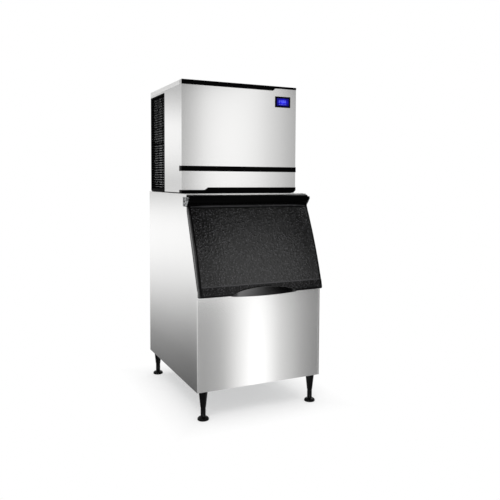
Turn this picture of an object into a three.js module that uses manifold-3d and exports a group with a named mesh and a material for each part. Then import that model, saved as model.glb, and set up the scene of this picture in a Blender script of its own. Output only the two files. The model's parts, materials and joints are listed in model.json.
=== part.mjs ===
// A commercial ice maker: a modular ice-making head that stands on an insulated storage bin.
// Millimetres, +Z up, the front faces -Y. The origin is the centre of the footprint, on the floor.
// Places are written as x, as depth from the back of the casing, and as height.

import * as THREE from "three";
import { mergeVertices } from "three/addons/utils/BufferGeometryUtils.js";
import Module from "manifold-3d";

const wasm = await Module();
wasm.setup();

// Driving dimensions
const binWidth = 762;
const binDepth = 905;
const binHeight = 1064;
const headWidth = 740;
const headDepth = 622;
const headHeight = 645;
const legHeight = 160;
const sheet = 1.5;
const wall = 49;
const seat = 0.3;
const running = 0.4;
const overrun = 5;

// Levels and half widths that many pieces share
const binTop = legHeight + binHeight;
const headTop = binTop + headHeight;
const binHalf = binWidth / 2;
const headHalf = headWidth / 2;
const binInside = binHalf - sheet - seat;
const headInside = headHalf - sheet - seat;

// The bin's sloped mouth, with heights above the bin's underside
const mouth = { sillHeight: 556, topDrop: 98, topSetback: 164, browSetback: 6 };
const mouthTop = binHeight - mouth.topDrop;
const mouthDepth = binDepth - mouth.topSetback;
const browDepth = mouthDepth - mouth.browSetback;
const frontInset = sheet + seat;

// Storage bin
const basePan = { thickness: 2 };
const sill = { drop: 4, flange: 20 };
const sillLevel = mouth.sillHeight - sill.drop;
const liner = { skin: 3, floor: 52 };
const header = { thickness: 50, setback: 41, footDrop: 16, footRise: 18 };
const headerFront = mouthDepth - header.setback;
const headerBack = headerFront - header.thickness;
const footBottom = mouthTop - header.footDrop;
const footTop = mouthTop + header.footRise;
const deck = { lip: 34, holeMargin: 4 };
const iceDrop = { left: -242, right: 282, back: 412, front: 582 };
const drain = { radius: 13, bore: 10, reach: 18, level: 26, depth: 97 };

// Legs and feet
const leg = { inset: 45, setback: 28, topRadius: 24.5, tipRadius: 15.5, tipHeight: 70, flange: 6, stud: 6 };
const foot = { padRadius: 32, padTop: 18, neckRadius: 14, stemRadius: 8, stemTop: 132, headroom: 5 };

// Door, with its hinge axis in the middle of the rail
const hinge = { ahead: 1, above: 67, pinRadius: 5, headRadius: 9, headThickness: 3, grip: 24 };
const hingeDepth = mouthDepth + hinge.ahead;
const hingeHeight = mouthTop + hinge.above;
const bracket = { plate: 3, backReach: 58, noseReach: 34, drop: 40, rise: 14, noseRadius: 6 };
const rail = { backReach: 34, noseReach: 33, halfHeight: 24, backRadius: 12, noseRadius: 24, chinRadius: 15 };
const railBack = hingeDepth - rail.backReach;
const railNose = hingeDepth + rail.noseReach;
const railEnd = 7;
const neck = { thickness: 9, overlap: 6 };
const door = { edge: 1, gap: 4, topDrop: 30, bottomDrop: 39, neckReach: 16, toeReach: 45, crown: 18 };
const doorHalf = binHalf - door.edge;
const doorTop = hingeHeight - door.topDrop;
const doorBottom = mouth.sillHeight - door.bottomDrop;
const doorSkin = 3.5;
const doorToe = { radius: 13, crease: 53, creaseStep: 2.5 };
const crease = doorBottom + doorToe.crease;
const handle = { halfWidth: 200, height: 56, reach: 10.5, drop: 7 };
const sideRound = { width: 20 };
const sideRoundShare = 0.5;
const doorGasket = { width: 12, edgeInset: 29, rise: 13 };
const gasketBottom = doorBottom + doorGasket.rise;

// Head casing
const headGasket = { height: 5, inset: 4, width: 20, frontWidth: 5 };
const headPan = { thickness: 2, coaming: 15 };
const tray = { depth: 36, lift: 1.5, chamfer: 15 };
const cover = { skirt: 26 };
const flange = { front: 20, top: 15 };
const grille = {
  front: 302,
  bottom: 8,
  top: 608,
  thickness: 15,
  sideRim: 6,
  frontRim: 14,
  endRim: 9,
};
const louvre = { count: 38, thickness: 2.4, rise: 9 };
const grilleBack = sheet + seat;
const filter = { thickness: 4, rim: 10, bar: 4, rows: 6, columns: 3 };
const exhaust = { rows: 8, columns: 3, length: 110, height: 9, pitch: 34, bottom: 280, gap: 36 };

// Trim strips and display on the head's front
const trim = { thickness: 2 };
const topStrip = { height: 27, narrow: 13, stepLeft: 210, stepRight: 227 };
const middleStrip = { bottom: 128, height: 30 };
const bottomStrip = { low: 20, high: 34.5, stepLeft: -229, stepRight: -209 };
const display = { left: 226, right: 329, bottom: 520, top: 585, bezel: 3, border: 10, glass: 1.4 };
const displayHousing = { depth: 18, inset: 4 };

// Ice-making section, with heights above the head's underside
const partition = { gap: 10, thickness: 10 };
const partitionBack = grille.front + partition.gap;
const partitionFront = partitionBack + partition.thickness;
const evaporator = { left: -230, right: 270, bottom: 150, top: 580, standoff: 18, plate: 3, cellDepth: 22 };
const evaporatorBack = partitionFront + evaporator.standoff;
const evaporatorFront = evaporatorBack + evaporator.plate + evaporator.cellDepth;
const cells = { columns: 12, rows: 10, divider: 2.4 };
const lug = { width: 18, height: 12 };
const coil = { radius: 6, passes: 5, pitch: 80, straight: 430, sides: 8, bendSteps: 6 };
const distributor = { radius: 10, ahead: 15, ear: 6, earHeight: 12, earRear: 10, nozzle: 6, nozzleDrop: 20 };
const distributorDepth = evaporatorBack + distributor.ahead;
const curtain = { gap: 21, axis: 606, bottom: 140, thickness: 2.4, barrel: 5, pin: 3, lip: 16 };
const curtainDepth = evaporatorFront + curtain.gap;
const curtainClearance = 6;
const trough = { right: 346, ahead: 19, bottom: 40, top: 120, skin: 3 };
const pump = { x: 316, ahead: 8, volute: 23, voluteHeight: 20, skin: 3, column: 9 };
const pumpDepth = distributorDepth + pump.ahead;
const pumpMotor = { radius: 24, bottom: 135, height: 70 };
const pumpBracket = { width: 20, height: 40 };
const impeller = { radius: 17, disc: 2.5, hub: 6, shaft: 3, shaftLength: 40 };
const vane = { count: 6, height: 7, thickness: 2, inner: 3, outer: 16 };
const waterTube = { radius: 7.5, bore: 5 };
const floatValve = { left: -300, pivotX: -268, level: 130, body: 28, pin: 2.5, eye: 6, eyeLength: 6 };
const floatArm = { reach: 63, rod: 3, radius: 18, height: 24, drop: 34 };
const probe = { x: -225, ahead: 30, radius: 5, below: 90, arm: 16, lift: 24, plate: 3, standX: -262 };
const probeDepth = iceDrop.back + probe.ahead;

// Refrigeration section
const condenser = { thickness: 44, back: 24, top: 600, endPlate: 2 };
const condenserTube = { radius: 4, bend: 12.5, count: 6, firstLevel: 60 };
const shroud = { depth: 42, skin: 2, hole: 90, axisDepth: 163, axisHeight: 330 };
const fanBracket = { reach: 58, half: 112, width: 20, strap: 3 };
const fan = { radius: 84, hub: 22, hubLength: 22, blades: 5, blade: 2.2, gap: 13, shaft: 4, shaftLength: 34 };
const fanRootRadius = 20;
const bladePitchAngle = Math.PI / 6;
const fanMotor = { radius: 32, length: 52 };
const compressor = { x: 80, depth: 160, radius: 84, height: 190 };
const compressorBase = { half: 92, thickness: 3, mountRadius: 12, mountHeight: 15 };
const compressorBox = { width: 54, reach: 14, height: 60 };
const dome = { shoulder: 46, cap: 30, weld: 3, weldHeight: 6 };
const controlBox = { left: 290, standoff: 78, setback: 62, bottom: 330, top: 560 };
const controlBack = partitionFront + controlBox.standoff;
const controlFront = headDepth - controlBox.setback;
const rocker = { x: 330, level: 480, half: 12, width: 24, proud: 3, dip: 1.2, pocket: 13 };
const gland = { x: -250, level: 60, radius: 11, flange: 16, reach: 14, flangeThickness: 3 };
const inletValve = { x: 250, level: 420, width: 40, depth: 44, height: 54, radius: 9, standoff: 12 };

// Finishes
const finishes = {
  stainless: { color: 0xcfcfcd, roughness: 0.3, metalness: 1 },
  galvanised: { color: 0xa9adaf, roughness: 0.5, metalness: 0.9 },
  blackPlastic: { color: 0x17181a, roughness: 0.55, metalness: 0 },
  blackTrim: { color: 0x0c0c0d, roughness: 0.3, metalness: 0 },
  blackRubber: { color: 0x1b1b1b, roughness: 0.85, metalness: 0 },
  whitePlastic: { color: 0xe9ecec, roughness: 0.5, metalness: 0 },
  foam: { color: 0xe6dcae, roughness: 0.95, metalness: 0 },
  screen: { color: 0x1a22d8, roughness: 0.15, metalness: 0 },
  copper: { color: 0xb87048, roughness: 0.35, metalness: 1 },
  nickel: { color: 0xb9b6ab, roughness: 0.28, metalness: 1 },
  blackSteel: { color: 0x202225, roughness: 0.4, metalness: 0.3 },
  filterMesh: { color: 0x3a3d40, roughness: 0.7, metalness: 0 },
};

const roundSides = 20;
const smallSides = 12;
const curveSteps = 4;

const X = new THREE.Vector3(1, 0, 0);
const Y = new THREE.Vector3(0, 1, 0);
const Z = new THREE.Vector3(0, 0, 1);

// A form is a BufferGeometry or, once it has been joined or cut, a manifold solid.
function solidOf(form) {
  if (!form.isBufferGeometry) return form;
  const bare = form.clone();
  bare.deleteAttribute("normal");
  bare.deleteAttribute("uv");
  const merged = mergeVertices(bare);
  return new wasm.Manifold(
    new wasm.Mesh({
      numProp: 3,
      vertProperties: merged.attributes.position.array,
      triVerts: new Uint32Array(merged.index.array),
    }),
  );
}

function geometryOf(form) {
  if (form.isBufferGeometry) return form;
  const mesh = form.getMesh();
  const geometry = new THREE.BufferGeometry();
  geometry.setAttribute("position", new THREE.BufferAttribute(new Float32Array(mesh.vertProperties), 3));
  geometry.setIndex(new THREE.BufferAttribute(new Uint32Array(mesh.triVerts), 1));
  const faceted = geometry.toNonIndexed();
  faceted.computeVertexNormals();
  return faceted;
}

function join(...forms) {
  return forms.map(solidOf).reduce((a, b) => a.add(b));
}

function cut(form, ...tools) {
  return tools.map(solidOf).reduce((a, b) => a.subtract(b), solidOf(form));
}

// A box between two x values, two depths and two heights.
function block([x0, x1], [d0, d1], [z0, z1]) {
  const box = new THREE.BoxGeometry(x1 - x0, d1 - d0, z1 - z0);
  return box.translate((x0 + x1) / 2, -(d0 + d1) / 2, (z0 + z1) / 2);
}

// A closed outline; a corner with a third value is rounded by that radius.
function outlineShape(corners) {
  const shape = new THREE.Shape();
  corners.forEach(([u, v, radius = 0], i) => {
    const corner = new THREE.Vector2(u, v);
    const before = new THREE.Vector2(...corners.at(i - 1));
    const after = new THREE.Vector2(...corners[(i + 1) % corners.length]);
    const start = corner.clone().add(before.sub(corner).setLength(radius));
    const end = corner.clone().add(after.sub(corner).setLength(radius));
    if (i === 0) shape.moveTo(start.x, start.y);
    else shape.lineTo(start.x, start.y);
    if (radius > 0) shape.quadraticCurveTo(corner.x, corner.y, end.x, end.y);
  });
  return shape;
}

function extrusion(shape, depth) {
  return new THREE.ExtrudeGeometry(shape, { depth, bevelEnabled: false, curveSegments: curveSteps });
}

// A profile of [depth, height] corners, drawn out across the width from x0 to x1.
function across(profile, x0, x1) {
  const shape = outlineShape(profile.map(([depth, height, radius]) => [-depth, height, radius]));
  const turn = new THREE.Matrix4().makeBasis(Y, Z, X);
  return extrusion(shape, x1 - x0).applyMatrix4(turn).translate(x0, 0, 0);
}

// A face outline of [x, height] corners, drawn out from depth d0 forward to depth d1.
function forward(face, d0, d1) {
  const turn = new THREE.Matrix4().makeBasis(X, Z, Y.clone().negate());
  return extrusion(outlineShape(face), d1 - d0).applyMatrix4(turn).translate(0, -d0, 0);
}

function rodX(radius, x0, x1, depth, height, sides = smallSides) {
  const rod = new THREE.CylinderGeometry(radius, radius, x1 - x0, sides);
  return rod.rotateZ(-Math.PI / 2).translate((x0 + x1) / 2, -depth, height);
}

function rodY(radius, x, d0, d1, height, sides = smallSides) {
  const rod = new THREE.CylinderGeometry(radius, radius, d1 - d0, sides);
  return rod.translate(x, -(d0 + d1) / 2, height);
}

function rodZ(radius, x, depth, z0, z1, sides = smallSides) {
  const rod = new THREE.CylinderGeometry(radius, radius, z1 - z0, sides);
  return rod.rotateX(Math.PI / 2).translate(x, -depth, (z0 + z1) / 2);
}

// A turned piece of [radius, height] corners about a vertical axis.
function turned(profile, x, depth, sides = roundSides) {
  const points = profile.map(([radius, height]) => new THREE.Vector2(radius, height));
  return new THREE.LatheGeometry(points, sides).rotateX(Math.PI / 2).translate(x, -depth, 0);
}

// A round tube that follows a curve.
function tubeAlong(curve, radius, steps, sides) {
  const ring = new THREE.Shape(new THREE.EllipseCurve(0, 0, radius, radius).getPoints(sides).slice(0, -1));
  return new THREE.ExtrudeGeometry(ring, { steps, extrudePath: curve });
}

// A half turn of tube in the plane of the two directions, from -sweep round out to +sweep.
class HalfTurn extends THREE.Curve {
  constructor(centre, out, sweep, radius) {
    super();
    Object.assign(this, { centre, out, sweep, radius });
  }
  getPoint(t, target = new THREE.Vector3()) {
    const angle = (t - 1 / 2) * Math.PI;
    target.copy(this.centre);
    target.addScaledVector(this.out, Math.cos(angle) * this.radius);
    return target.addScaledVector(this.sweep, Math.sin(angle) * this.radius);
  }
}

function piece(name, form, finish) {
  const mesh = new THREE.Mesh(geometryOf(form), new THREE.MeshStandardMaterial(finish));
  mesh.name = name;
  return mesh;
}

const binLevel = (height) => legHeight + height;
const headLevel = (height) => binTop + height;

// Depth of the sloped mouth plane at a height above the bin's underside.
function slopeDepth(height) {
  const climb = (height - mouth.sillHeight) / (mouthTop - mouth.sillHeight);
  return binDepth + (mouthDepth - binDepth) * climb;
}

// The bin's side outline with its front edges moved back, between given back, bottom and top.
function sideOutline(inset, back, bottom, top) {
  return [
    [back, bottom],
    [binDepth - inset, bottom],
    [binDepth - inset, binLevel(mouth.sillHeight)],
    [mouthDepth - inset, binLevel(mouthTop)],
    [browDepth - inset, top],
    [back, top],
  ];
}

const deckUnderside = binTop - sheet;

// The hole for the door's hinge pin through a sheet between two x values.
function pinHole(x0, x1) {
  const radius = hinge.pinRadius + running;
  return rodX(radius, x0 - overrun, x1 + overrun, hingeDepth, binLevel(hingeHeight));
}

// Storage bin

function binSidePanel(side) {
  const [x0, x1] = side < 0 ? [-binHalf, -binHalf + sheet] : [binHalf - sheet, binHalf];
  const [f0, f1] = side < 0 ? [x0, -binHalf + wall] : [binHalf - wall, x1];
  const [c0, c1] = side < 0 ? [x1, f1 + overrun] : [f0 - overrun, x0];
  const top = deckUnderside - seat;
  const outside = across(sideOutline(frontInset, 0, legHeight, top), f0, f1);
  const beyond = [legHeight - overrun, top + overrun];
  const inside = across(sideOutline(frontInset + sheet, -overrun, ...beyond), c0, c1);
  const aboveJamb = block([c0, c1], [0, binDepth], [binLevel(footBottom) - seat, top + overrun]);
  return cut(outside, inside, aboveJamb, pinHole(x0, x1));
}

function binBackPanel() {
  const plate = block([-binInside, binInside], [0, sheet], [legHeight, deckUnderside - seat]);
  return cut(plate, rodY(drain.radius + seat, 0, -overrun, sheet + overrun, binLevel(drain.level)));
}

function binFrontPanel() {
  const plate = block([-binHalf, binHalf], [binDepth - sheet, binDepth], [legHeight, binLevel(sillLevel)]);
  const flangeHalf = binHalf - wall - seat;
  const depths = [binDepth - sheet - sill.flange, binDepth];
  const levels = [binLevel(sillLevel) - sheet, binLevel(sillLevel)];
  return join(plate, block([-flangeHalf, flangeHalf], depths, levels));
}

function legPlaces() {
  const x = binHalf - leg.inset;
  const back = leg.setback;
  const front = binDepth - leg.setback;
  return { front_left: [-x, front], front_right: [x, front], back_left: [-x, back], back_right: [x, back] };
}

function binBasePan() {
  const front = binDepth - frontInset - sheet - seat;
  const top = legHeight + basePan.thickness;
  const plate = block([-binInside, binInside], [sheet + seat, front], [legHeight, top]);
  const holes = Object.values(legPlaces()).map(([x, depth]) =>
    rodZ(leg.stud + seat, x, depth, legHeight - overrun, top + overrun),
  );
  return cut(plate, ...holes);
}

function binDeck() {
  const front = headerFront + seat + sheet;
  const plate = block([-binHalf, binHalf], [0, front], [deckUnderside, binTop]);
  const lip = block([-binInside, binInside], [front - sheet, front], [binTop - deck.lip, binTop]);
  const hole = block(
    [iceDrop.left - deck.holeMargin, iceDrop.right + deck.holeMargin],
    [iceDrop.back - deck.holeMargin, iceDrop.front + deck.holeMargin],
    [deckUnderside - overrun, binTop + overrun],
  );
  return cut(join(plate, lip), hole);
}

function binHeader() {
  const footFront = slopeDepth(footBottom) - frontInset;
  const top = deckUnderside - seat;
  const profile = [
    [headerBack, binLevel(footBottom)],
    [footFront, binLevel(footBottom)],
    [mouthDepth - frontInset, binLevel(mouthTop)],
    [browDepth - frontInset, binLevel(footTop)],
    [headerFront, binLevel(footTop)],
    [headerFront, top],
    [headerBack, top],
  ];
  return across(profile, -binInside, binInside);
}

const linerHalf = binHalf - wall - seat;
const linerFront = binDepth - wall;

// The liner's side outline, grown by a clearance.
function linerOutline(grow) {
  const top = deckUnderside - seat;
  const headerRear = headerBack - seat;
  const headerUnder = binLevel(footBottom) - seat;
  const sillUnder = binLevel(sillLevel) + seat;
  return [
    [wall - grow, binLevel(liner.floor) - grow],
    [linerFront + grow, binLevel(liner.floor) - grow],
    [linerFront + grow, sillUnder - grow],
    [binDepth - frontInset + grow, sillUnder - grow],
    [binDepth - frontInset + grow, binLevel(mouth.sillHeight)],
    [slopeDepth(footBottom) - frontInset + grow, headerUnder],
    [headerRear, headerUnder],
    [headerRear, top + grow],
    [wall - grow, top + grow],
  ];
}

function drainPipe(radius) {
  const level = binLevel(drain.level);
  const top = binLevel(liner.floor + liner.skin);
  const stub = rodY(radius, 0, -drain.reach, drain.depth + radius, level);
  return join(stub, rodZ(radius, 0, drain.depth, level, top));
}

const linerInside = linerHalf - liner.skin;

function linerWall(side) {
  const x = side < 0 ? [-linerHalf, -linerInside] : [linerInside, linerHalf];
  return across(linerOutline(0), ...x);
}

// The liner's floor, back and front in one sheet, between its two side walls.
function binLiner() {
  const half = linerInside - seat;
  const floor = binLevel(liner.floor + liner.skin);
  const sillTop = binLevel(sillLevel) + seat + liner.skin;
  const hollow = [
    [wall + liner.skin, floor],
    [linerFront - liner.skin, floor],
    [linerFront - liner.skin, sillTop],
    [binDepth + overrun, sillTop],
    [binDepth + overrun, binTop + overrun],
    [wall + liner.skin, binTop + overrun],
  ];
  const drainHole = rodZ(drain.radius + seat, 0, drain.depth, legHeight, floor + overrun);
  return cut(across(linerOutline(0), -half, half), across(hollow, -linerHalf, linerHalf), drainHole);
}

function binInsulation() {
  const inset = frontInset + sheet + seat;
  const bottom = legHeight + basePan.thickness + seat;
  const top = deckUnderside - seat;
  const bulk = across(sideOutline(inset, sheet + seat, bottom, top), -binInside, binInside);
  const everyX = [-binHalf, binHalf];
  const forHeader = block(
    everyX,
    [headerBack - seat, binDepth],
    [binLevel(footBottom) - seat, top + overrun],
  );
  const mouthHalf = linerHalf + seat;
  const forMouth = block(
    [-mouthHalf, mouthHalf],
    [linerFront, binDepth + overrun],
    [binLevel(sillLevel) - sheet - seat, binTop],
  );
  const forSill = block(
    everyX,
    [linerFront, binDepth + overrun],
    [binLevel(sillLevel) - sheet - seat, binLevel(sillLevel) + seat],
  );
  const forLiner = across(linerOutline(seat), -mouthHalf, mouthHalf);
  return cut(bulk, forHeader, forMouth, forSill, forLiner, drainPipe(drain.radius + seat));
}

function binDrain() {
  return cut(
    drainPipe(drain.radius),
    rodY(drain.bore, 0, -drain.reach - overrun, drain.depth, binLevel(drain.level)),
    rodZ(drain.bore, 0, drain.depth, binLevel(drain.level), binLevel(liner.floor + liner.skin) + overrun),
  );
}

function legSleeve([x, depth]) {
  const top = legHeight - seat;
  const bore = foot.stemRadius + running;
  const boreTop = foot.stemTop + foot.headroom;
  const studTop = legHeight + basePan.thickness;
  const profile = [
    [bore, leg.tipHeight],
    [leg.tipRadius, leg.tipHeight],
    [leg.topRadius, top - leg.flange],
    [leg.topRadius, top],
    [leg.stud, top],
    [leg.stud, studTop],
    [0, studTop],
    [0, boreTop],
    [bore, boreTop],
    [bore, leg.tipHeight],
  ];
  return turned(profile, x, depth);
}

// The foot's round pad, as shares of its radius and of its height.
const padCurve = [
  [0.88, 0],
  [1, 0.2],
  [0.96, 0.5],
  [0.78, 0.8],
];

function footPad([x, depth]) {
  const shoulder = leg.tipHeight - seat;
  const pad = padCurve.map(([radiusShare, heightShare]) => [
    foot.padRadius * radiusShare,
    foot.padTop * heightShare,
  ]);
  const profile = [
    [0, 0],
    ...pad,
    [foot.neckRadius, foot.padTop],
    [foot.neckRadius, shoulder],
    [foot.stemRadius, shoulder],
    [foot.stemRadius, foot.stemTop],
    [0, foot.stemTop],
  ];
  return turned(profile, x, depth);
}

// Door hinges

// A bracket on the bin's side, with the pin that is riveted to it and reaches into the door's rail.
function hingeBracket(side) {
  const inner = binHalf + seat;
  const outer = inner + bracket.plate;
  const level = binLevel(hingeHeight);
  const profile = [
    [hingeDepth - bracket.backReach, level - bracket.drop],
    [hingeDepth, level - bracket.drop],
    [hingeDepth + bracket.noseReach, level, bracket.noseRadius],
    [hingeDepth + bracket.noseReach, level + bracket.rise, bracket.noseRadius],
    [hingeDepth - bracket.backReach, level + bracket.rise],
  ];
  const shank = rodX(hinge.pinRadius, railHalf - hinge.grip, outer + hinge.headThickness, hingeDepth, level);
  const head = rodX(hinge.headRadius, outer - seat, outer + hinge.headThickness, hingeDepth, level);
  const bracketForm = join(across(profile, inner, outer), shank, head);
  return side < 0 ? bracketForm.mirror([1, 0, 0]) : bracketForm;
}

const railHalf = binHalf - railEnd;

// Door

// Depth of the door's back at a height: upright below the sill and above the mouth, sloped between.
function doorBack(height) {
  const onSlope = Math.min(Math.max(height, mouth.sillHeight), mouthTop);
  return slopeDepth(onSlope) + door.gap;
}

// Depth of the door's front in its middle: a shallow arc, set back above the crease, round at the toe.
function doorFront(height) {
  const neckDepth = mouthDepth + door.neckReach;
  const toeDepth = binDepth + door.toeReach;
  const share = (doorTop - height) / (doorTop - doorBottom);
  const chord = neckDepth + (toeDepth - neckDepth) * share;
  const arc = 4 * door.crown * share * (1 - share);
  const overToe = Math.max(0, doorToe.radius - (height - doorBottom));
  const toe = doorToe.radius - Math.sqrt(doorToe.radius ** 2 - overToe ** 2);
  const recess = height > crease ? doorToe.creaseStep : 0;
  return chord + arc - toe - recess;
}

// How far the handle's lens stands out, and how far it sags, at a place on the door.
function handleSwell(x, height) {
  const along = Math.max(0, 1 - (x / handle.halfWidth) ** 2);
  const lensTop = doorBottom + handle.height * along;
  const up = (height - doorBottom) / Math.max(lensTop - doorBottom, seat);
  return up < 1 ? handle.reach * along * Math.sqrt(1 - up ** 2) : 0;
}

function handleSag(x, height) {
  const along = Math.max(0, 1 - (x / handle.halfWidth) ** 2);
  return handle.drop * along * Math.max(0, 1 - (height - doorBottom) / handle.height);
}

const stationCounts = { edge: 4, middle: 8 };

// The x stations of the door: close together in the rounded edges and along the handle.
function doorStations(half) {
  const turns = evenly(0, Math.PI / 2, stationCounts.edge);
  const edge = turns.map((angle) => half - sideRound.width * (1 - Math.sin(angle)));
  const middle = evenly(-handle.halfWidth, handle.halfWidth, stationCounts.middle);
  return [...edge.map((x) => -x).reverse(), ...middle, ...edge];
}

// Places from one number to another, both kept, at equal steps.
function evenly(from, to, count) {
  return Array.from({ length: count + 1 }, (_, i) => from + ((to - from) * i) / count);
}

const rowCounts = { toe: 3, low: 4, rise: 6 };

// The heights of the door's rows, from its bottom to its top.
function doorRows(bottom, top) {
  const toeTop = bottom + doorToe.radius;
  const toe = evenly(bottom, toeTop, rowCounts.toe);
  const low = evenly(toeTop, crease, rowCounts.low);
  const joints = [crease + doorToe.creaseStep, mouth.sillHeight, mouthTop];
  const rise = evenly(crease, mouthTop, rowCounts.rise);
  const rows = [...toe, ...low, ...joints, ...rise, top].filter((height) => height <= top);
  return [...new Set(rows)].sort((a, b) => a - b);
}

// How much of the door's thickness is left at x, where its two upright edges are rounded.
function edgeShare(x, half) {
  const into = Math.max(0, Math.abs(x) - (half - sideRound.width)) / sideRound.width;
  return 1 - sideRoundShare * (1 - Math.sqrt(Math.max(0, 1 - into ** 2)));
}

// A slab between the door's back and its front, moved in by a skin and out behind by a reach.
function doorSlab(half, bottom, top, skin, behind) {
  const stations = doorStations(half);
  const rows = doorRows(bottom, top);
  const count = rows.length;
  const positions = [];
  for (const x of stations) {
    for (const height of rows) {
      const back = doorBack(height);
      const thickness = (doorFront(height) - back) * edgeShare(x, half);
      const front = back + thickness + handleSwell(x, height) - skin;
      const z = binLevel(height - handleSag(x, height));
      positions.push(x, -front, z, x, -(back - behind), z);
    }
  }
  const front = (i, j) => 2 * (i * count + j);
  const back = (i, j) => 2 * (i * count + j) + 1;
  const index = [];
  const quad = (a, b, c, d) => index.push(a, b, c, a, c, d);
  const last = stations.length - 1;
  for (let i = 0; i < last; i++) {
    for (let j = 0; j < count - 1; j++) {
      quad(front(i, j), front(i + 1, j), front(i + 1, j + 1), front(i, j + 1));
      quad(back(i, j), back(i, j + 1), back(i + 1, j + 1), back(i + 1, j));
    }
    quad(front(i, 0), back(i, 0), back(i + 1, 0), front(i + 1, 0));
    quad(front(i, count - 1), front(i + 1, count - 1), back(i + 1, count - 1), back(i, count - 1));
  }
  for (let j = 0; j < count - 1; j++) {
    quad(front(0, j), front(0, j + 1), back(0, j + 1), back(0, j));
    quad(front(last, j), back(last, j), back(last, j + 1), front(last, j + 1));
  }
  const slab = new THREE.BufferGeometry();
  slab.setAttribute("position", new THREE.BufferAttribute(new Float32Array(positions), 3));
  slab.setIndex(index);
  return slab;
}

const cavityTop = mouthTop;

function doorShell() {
  const panel = doorSlab(doorHalf, doorBottom, doorTop, 0, 0);
  const cavity = doorSlab(doorHalf - doorSkin, doorBottom + doorSkin, cavityTop, doorSkin, overrun);
  const level = binLevel(hingeHeight);
  const top = level + rail.halfHeight;
  const bottom = level - rail.halfHeight;
  const railProfile = [
    [railBack, bottom, rail.backRadius],
    [doorBack(doorTop), bottom],
    [doorBack(doorTop), binLevel(doorTop) - neck.overlap],
    [doorBack(doorTop) + neck.thickness, binLevel(doorTop) - neck.overlap],
    [doorBack(doorTop) + neck.thickness, bottom],
    [railNose, bottom, rail.chinRadius],
    [railNose, top, rail.noseRadius],
    [railBack, top, rail.backRadius],
  ];
  const bullNose = across(railProfile, -railHalf, railHalf);
  const bore = hinge.pinRadius + running;
  const bores = [-railHalf, railHalf].map((x) =>
    rodX(bore, x - hinge.grip - seat, x + hinge.grip + seat, hingeDepth, level),
  );
  return cut(join(panel, bullNose), cavity, ...bores);
}

function doorLiner() {
  const skin = doorSkin + seat;
  return doorSlab(doorHalf - skin, doorBottom + skin, cavityTop - seat, skin, 0);
}

function doorGasketRing() {
  const half = doorHalf - doorGasket.edgeInset;
  const top = cavityTop - seat;
  const onSill = binLevel(mouth.sillHeight);
  const profile = [
    [binDepth + seat, binLevel(gasketBottom)],
    [binDepth + door.gap - seat, binLevel(gasketBottom)],
    [binDepth + door.gap - seat, onSill],
    [slopeDepth(top) + door.gap - seat, binLevel(top)],
    [slopeDepth(top) + seat - frontInset, binLevel(top)],
    [binDepth + seat, onSill],
  ];
  const inside = block(
    [-half + doorGasket.width, half - doorGasket.width],
    [0, binDepth + door.gap],
    [binLevel(gasketBottom) + doorGasket.width, binLevel(top) - doorGasket.width],
  );
  return cut(across(profile, -half, half), inside);
}

// Head casing

const trayBack = headDepth - tray.depth;
const panelTop = headLevel(headHeight - cover.skirt) - seat;
const panelFront = trayBack - seat;
const panFloor = headLevel(headGasket.height);
const panTop = panFloor + headPan.thickness;

function headGasketRing() {
  const half = headHalf - headGasket.inset;
  const back = headGasket.inset;
  const front = panelFront;
  const levels = [binTop + seat, panFloor - seat];
  const inner = half - headGasket.width;
  const hollow = [back + headGasket.width, front - headGasket.frontWidth];
  const ring = block([-half, half], [back, front], levels);
  return cut(ring, block([-inner, inner], hollow, [binTop - overrun, panFloor + overrun]));
}

function headBasePan() {
  const plate = block([-headInside, headInside], [sheet + seat, panelFront - sheet - seat], [panFloor, panTop]);
  const rim = headPan.thickness;
  const coaming = block(
    [iceDrop.left - rim, iceDrop.right + rim],
    [iceDrop.back - rim, panelFront - sheet - seat],
    [panFloor, panTop + headPan.coaming],
  );
  const hole = block(
    [iceDrop.left, iceDrop.right],
    [iceDrop.back, panelFront - sheet - seat - rim],
    [panFloor - overrun, panTop + headPan.coaming + overrun],
  );
  return cut(join(plate, coaming), hole);
}

function headSidePanel(side) {
  const [x0, x1] = side < 0 ? [-headHalf, -headHalf + sheet] : [headHalf - sheet, headHalf];
  const reachTo = (size) => (side < 0 ? [x0, x0 + size] : [x1 - size, x1]);
  const plate = block([x0, x1], [0, panelFront], [panFloor, panelTop]);
  const frontFlange = block(reachTo(flange.front), [panelFront - sheet, panelFront], [panFloor, panelTop]);
  const topFlange = block(reachTo(flange.top), [sheet + seat, panelFront], [panelTop - sheet, panelTop]);
  const panel = join(plate, frontFlange, topFlange);
  if (side > 0) return panel;
  const levels = [panFloor - overrun, headLevel(grille.top)];
  return cut(panel, block([x0 - overrun, x1 + overrun], [-overrun, grille.front], levels));
}

function headRearPanel() {
  const plate = block([-headInside, headInside], [0, sheet], [panFloor, panelTop]);
  const slots = [];
  for (let column = 0; column < exhaust.columns; column++) {
    const x = (column - (exhaust.columns - 1) / 2) * (exhaust.length + exhaust.gap);
    for (let row = 0; row < exhaust.rows; row++) {
      const level = headLevel(exhaust.bottom + row * exhaust.pitch);
      const span = [x - exhaust.length / 2, x + exhaust.length / 2];
      slots.push(block(span, [-overrun, sheet + overrun], [level, level + exhaust.height]));
    }
  }
  const glandHole = rodY(gland.radius + seat, gland.x, -overrun, sheet + overrun, headLevel(gland.level));
  const waterLevel = headLevel(inletValve.level);
  const waterHole = rodY(inletValve.radius + seat, inletValve.x, -overrun, sheet + overrun, waterLevel);
  return cut(plate, ...slots, glandHole, waterHole);
}

function headTopCover() {
  const skirt = [headTop - cover.skirt, headTop];
  const bulk = block([-headHalf, headHalf], [0, panelFront], skirt);
  const under = block(
    [-headHalf + sheet, headHalf - sheet],
    [sheet, panelFront + overrun],
    [headTop - cover.skirt - overrun, headTop - sheet],
  );
  return cut(bulk, under);
}

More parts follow.
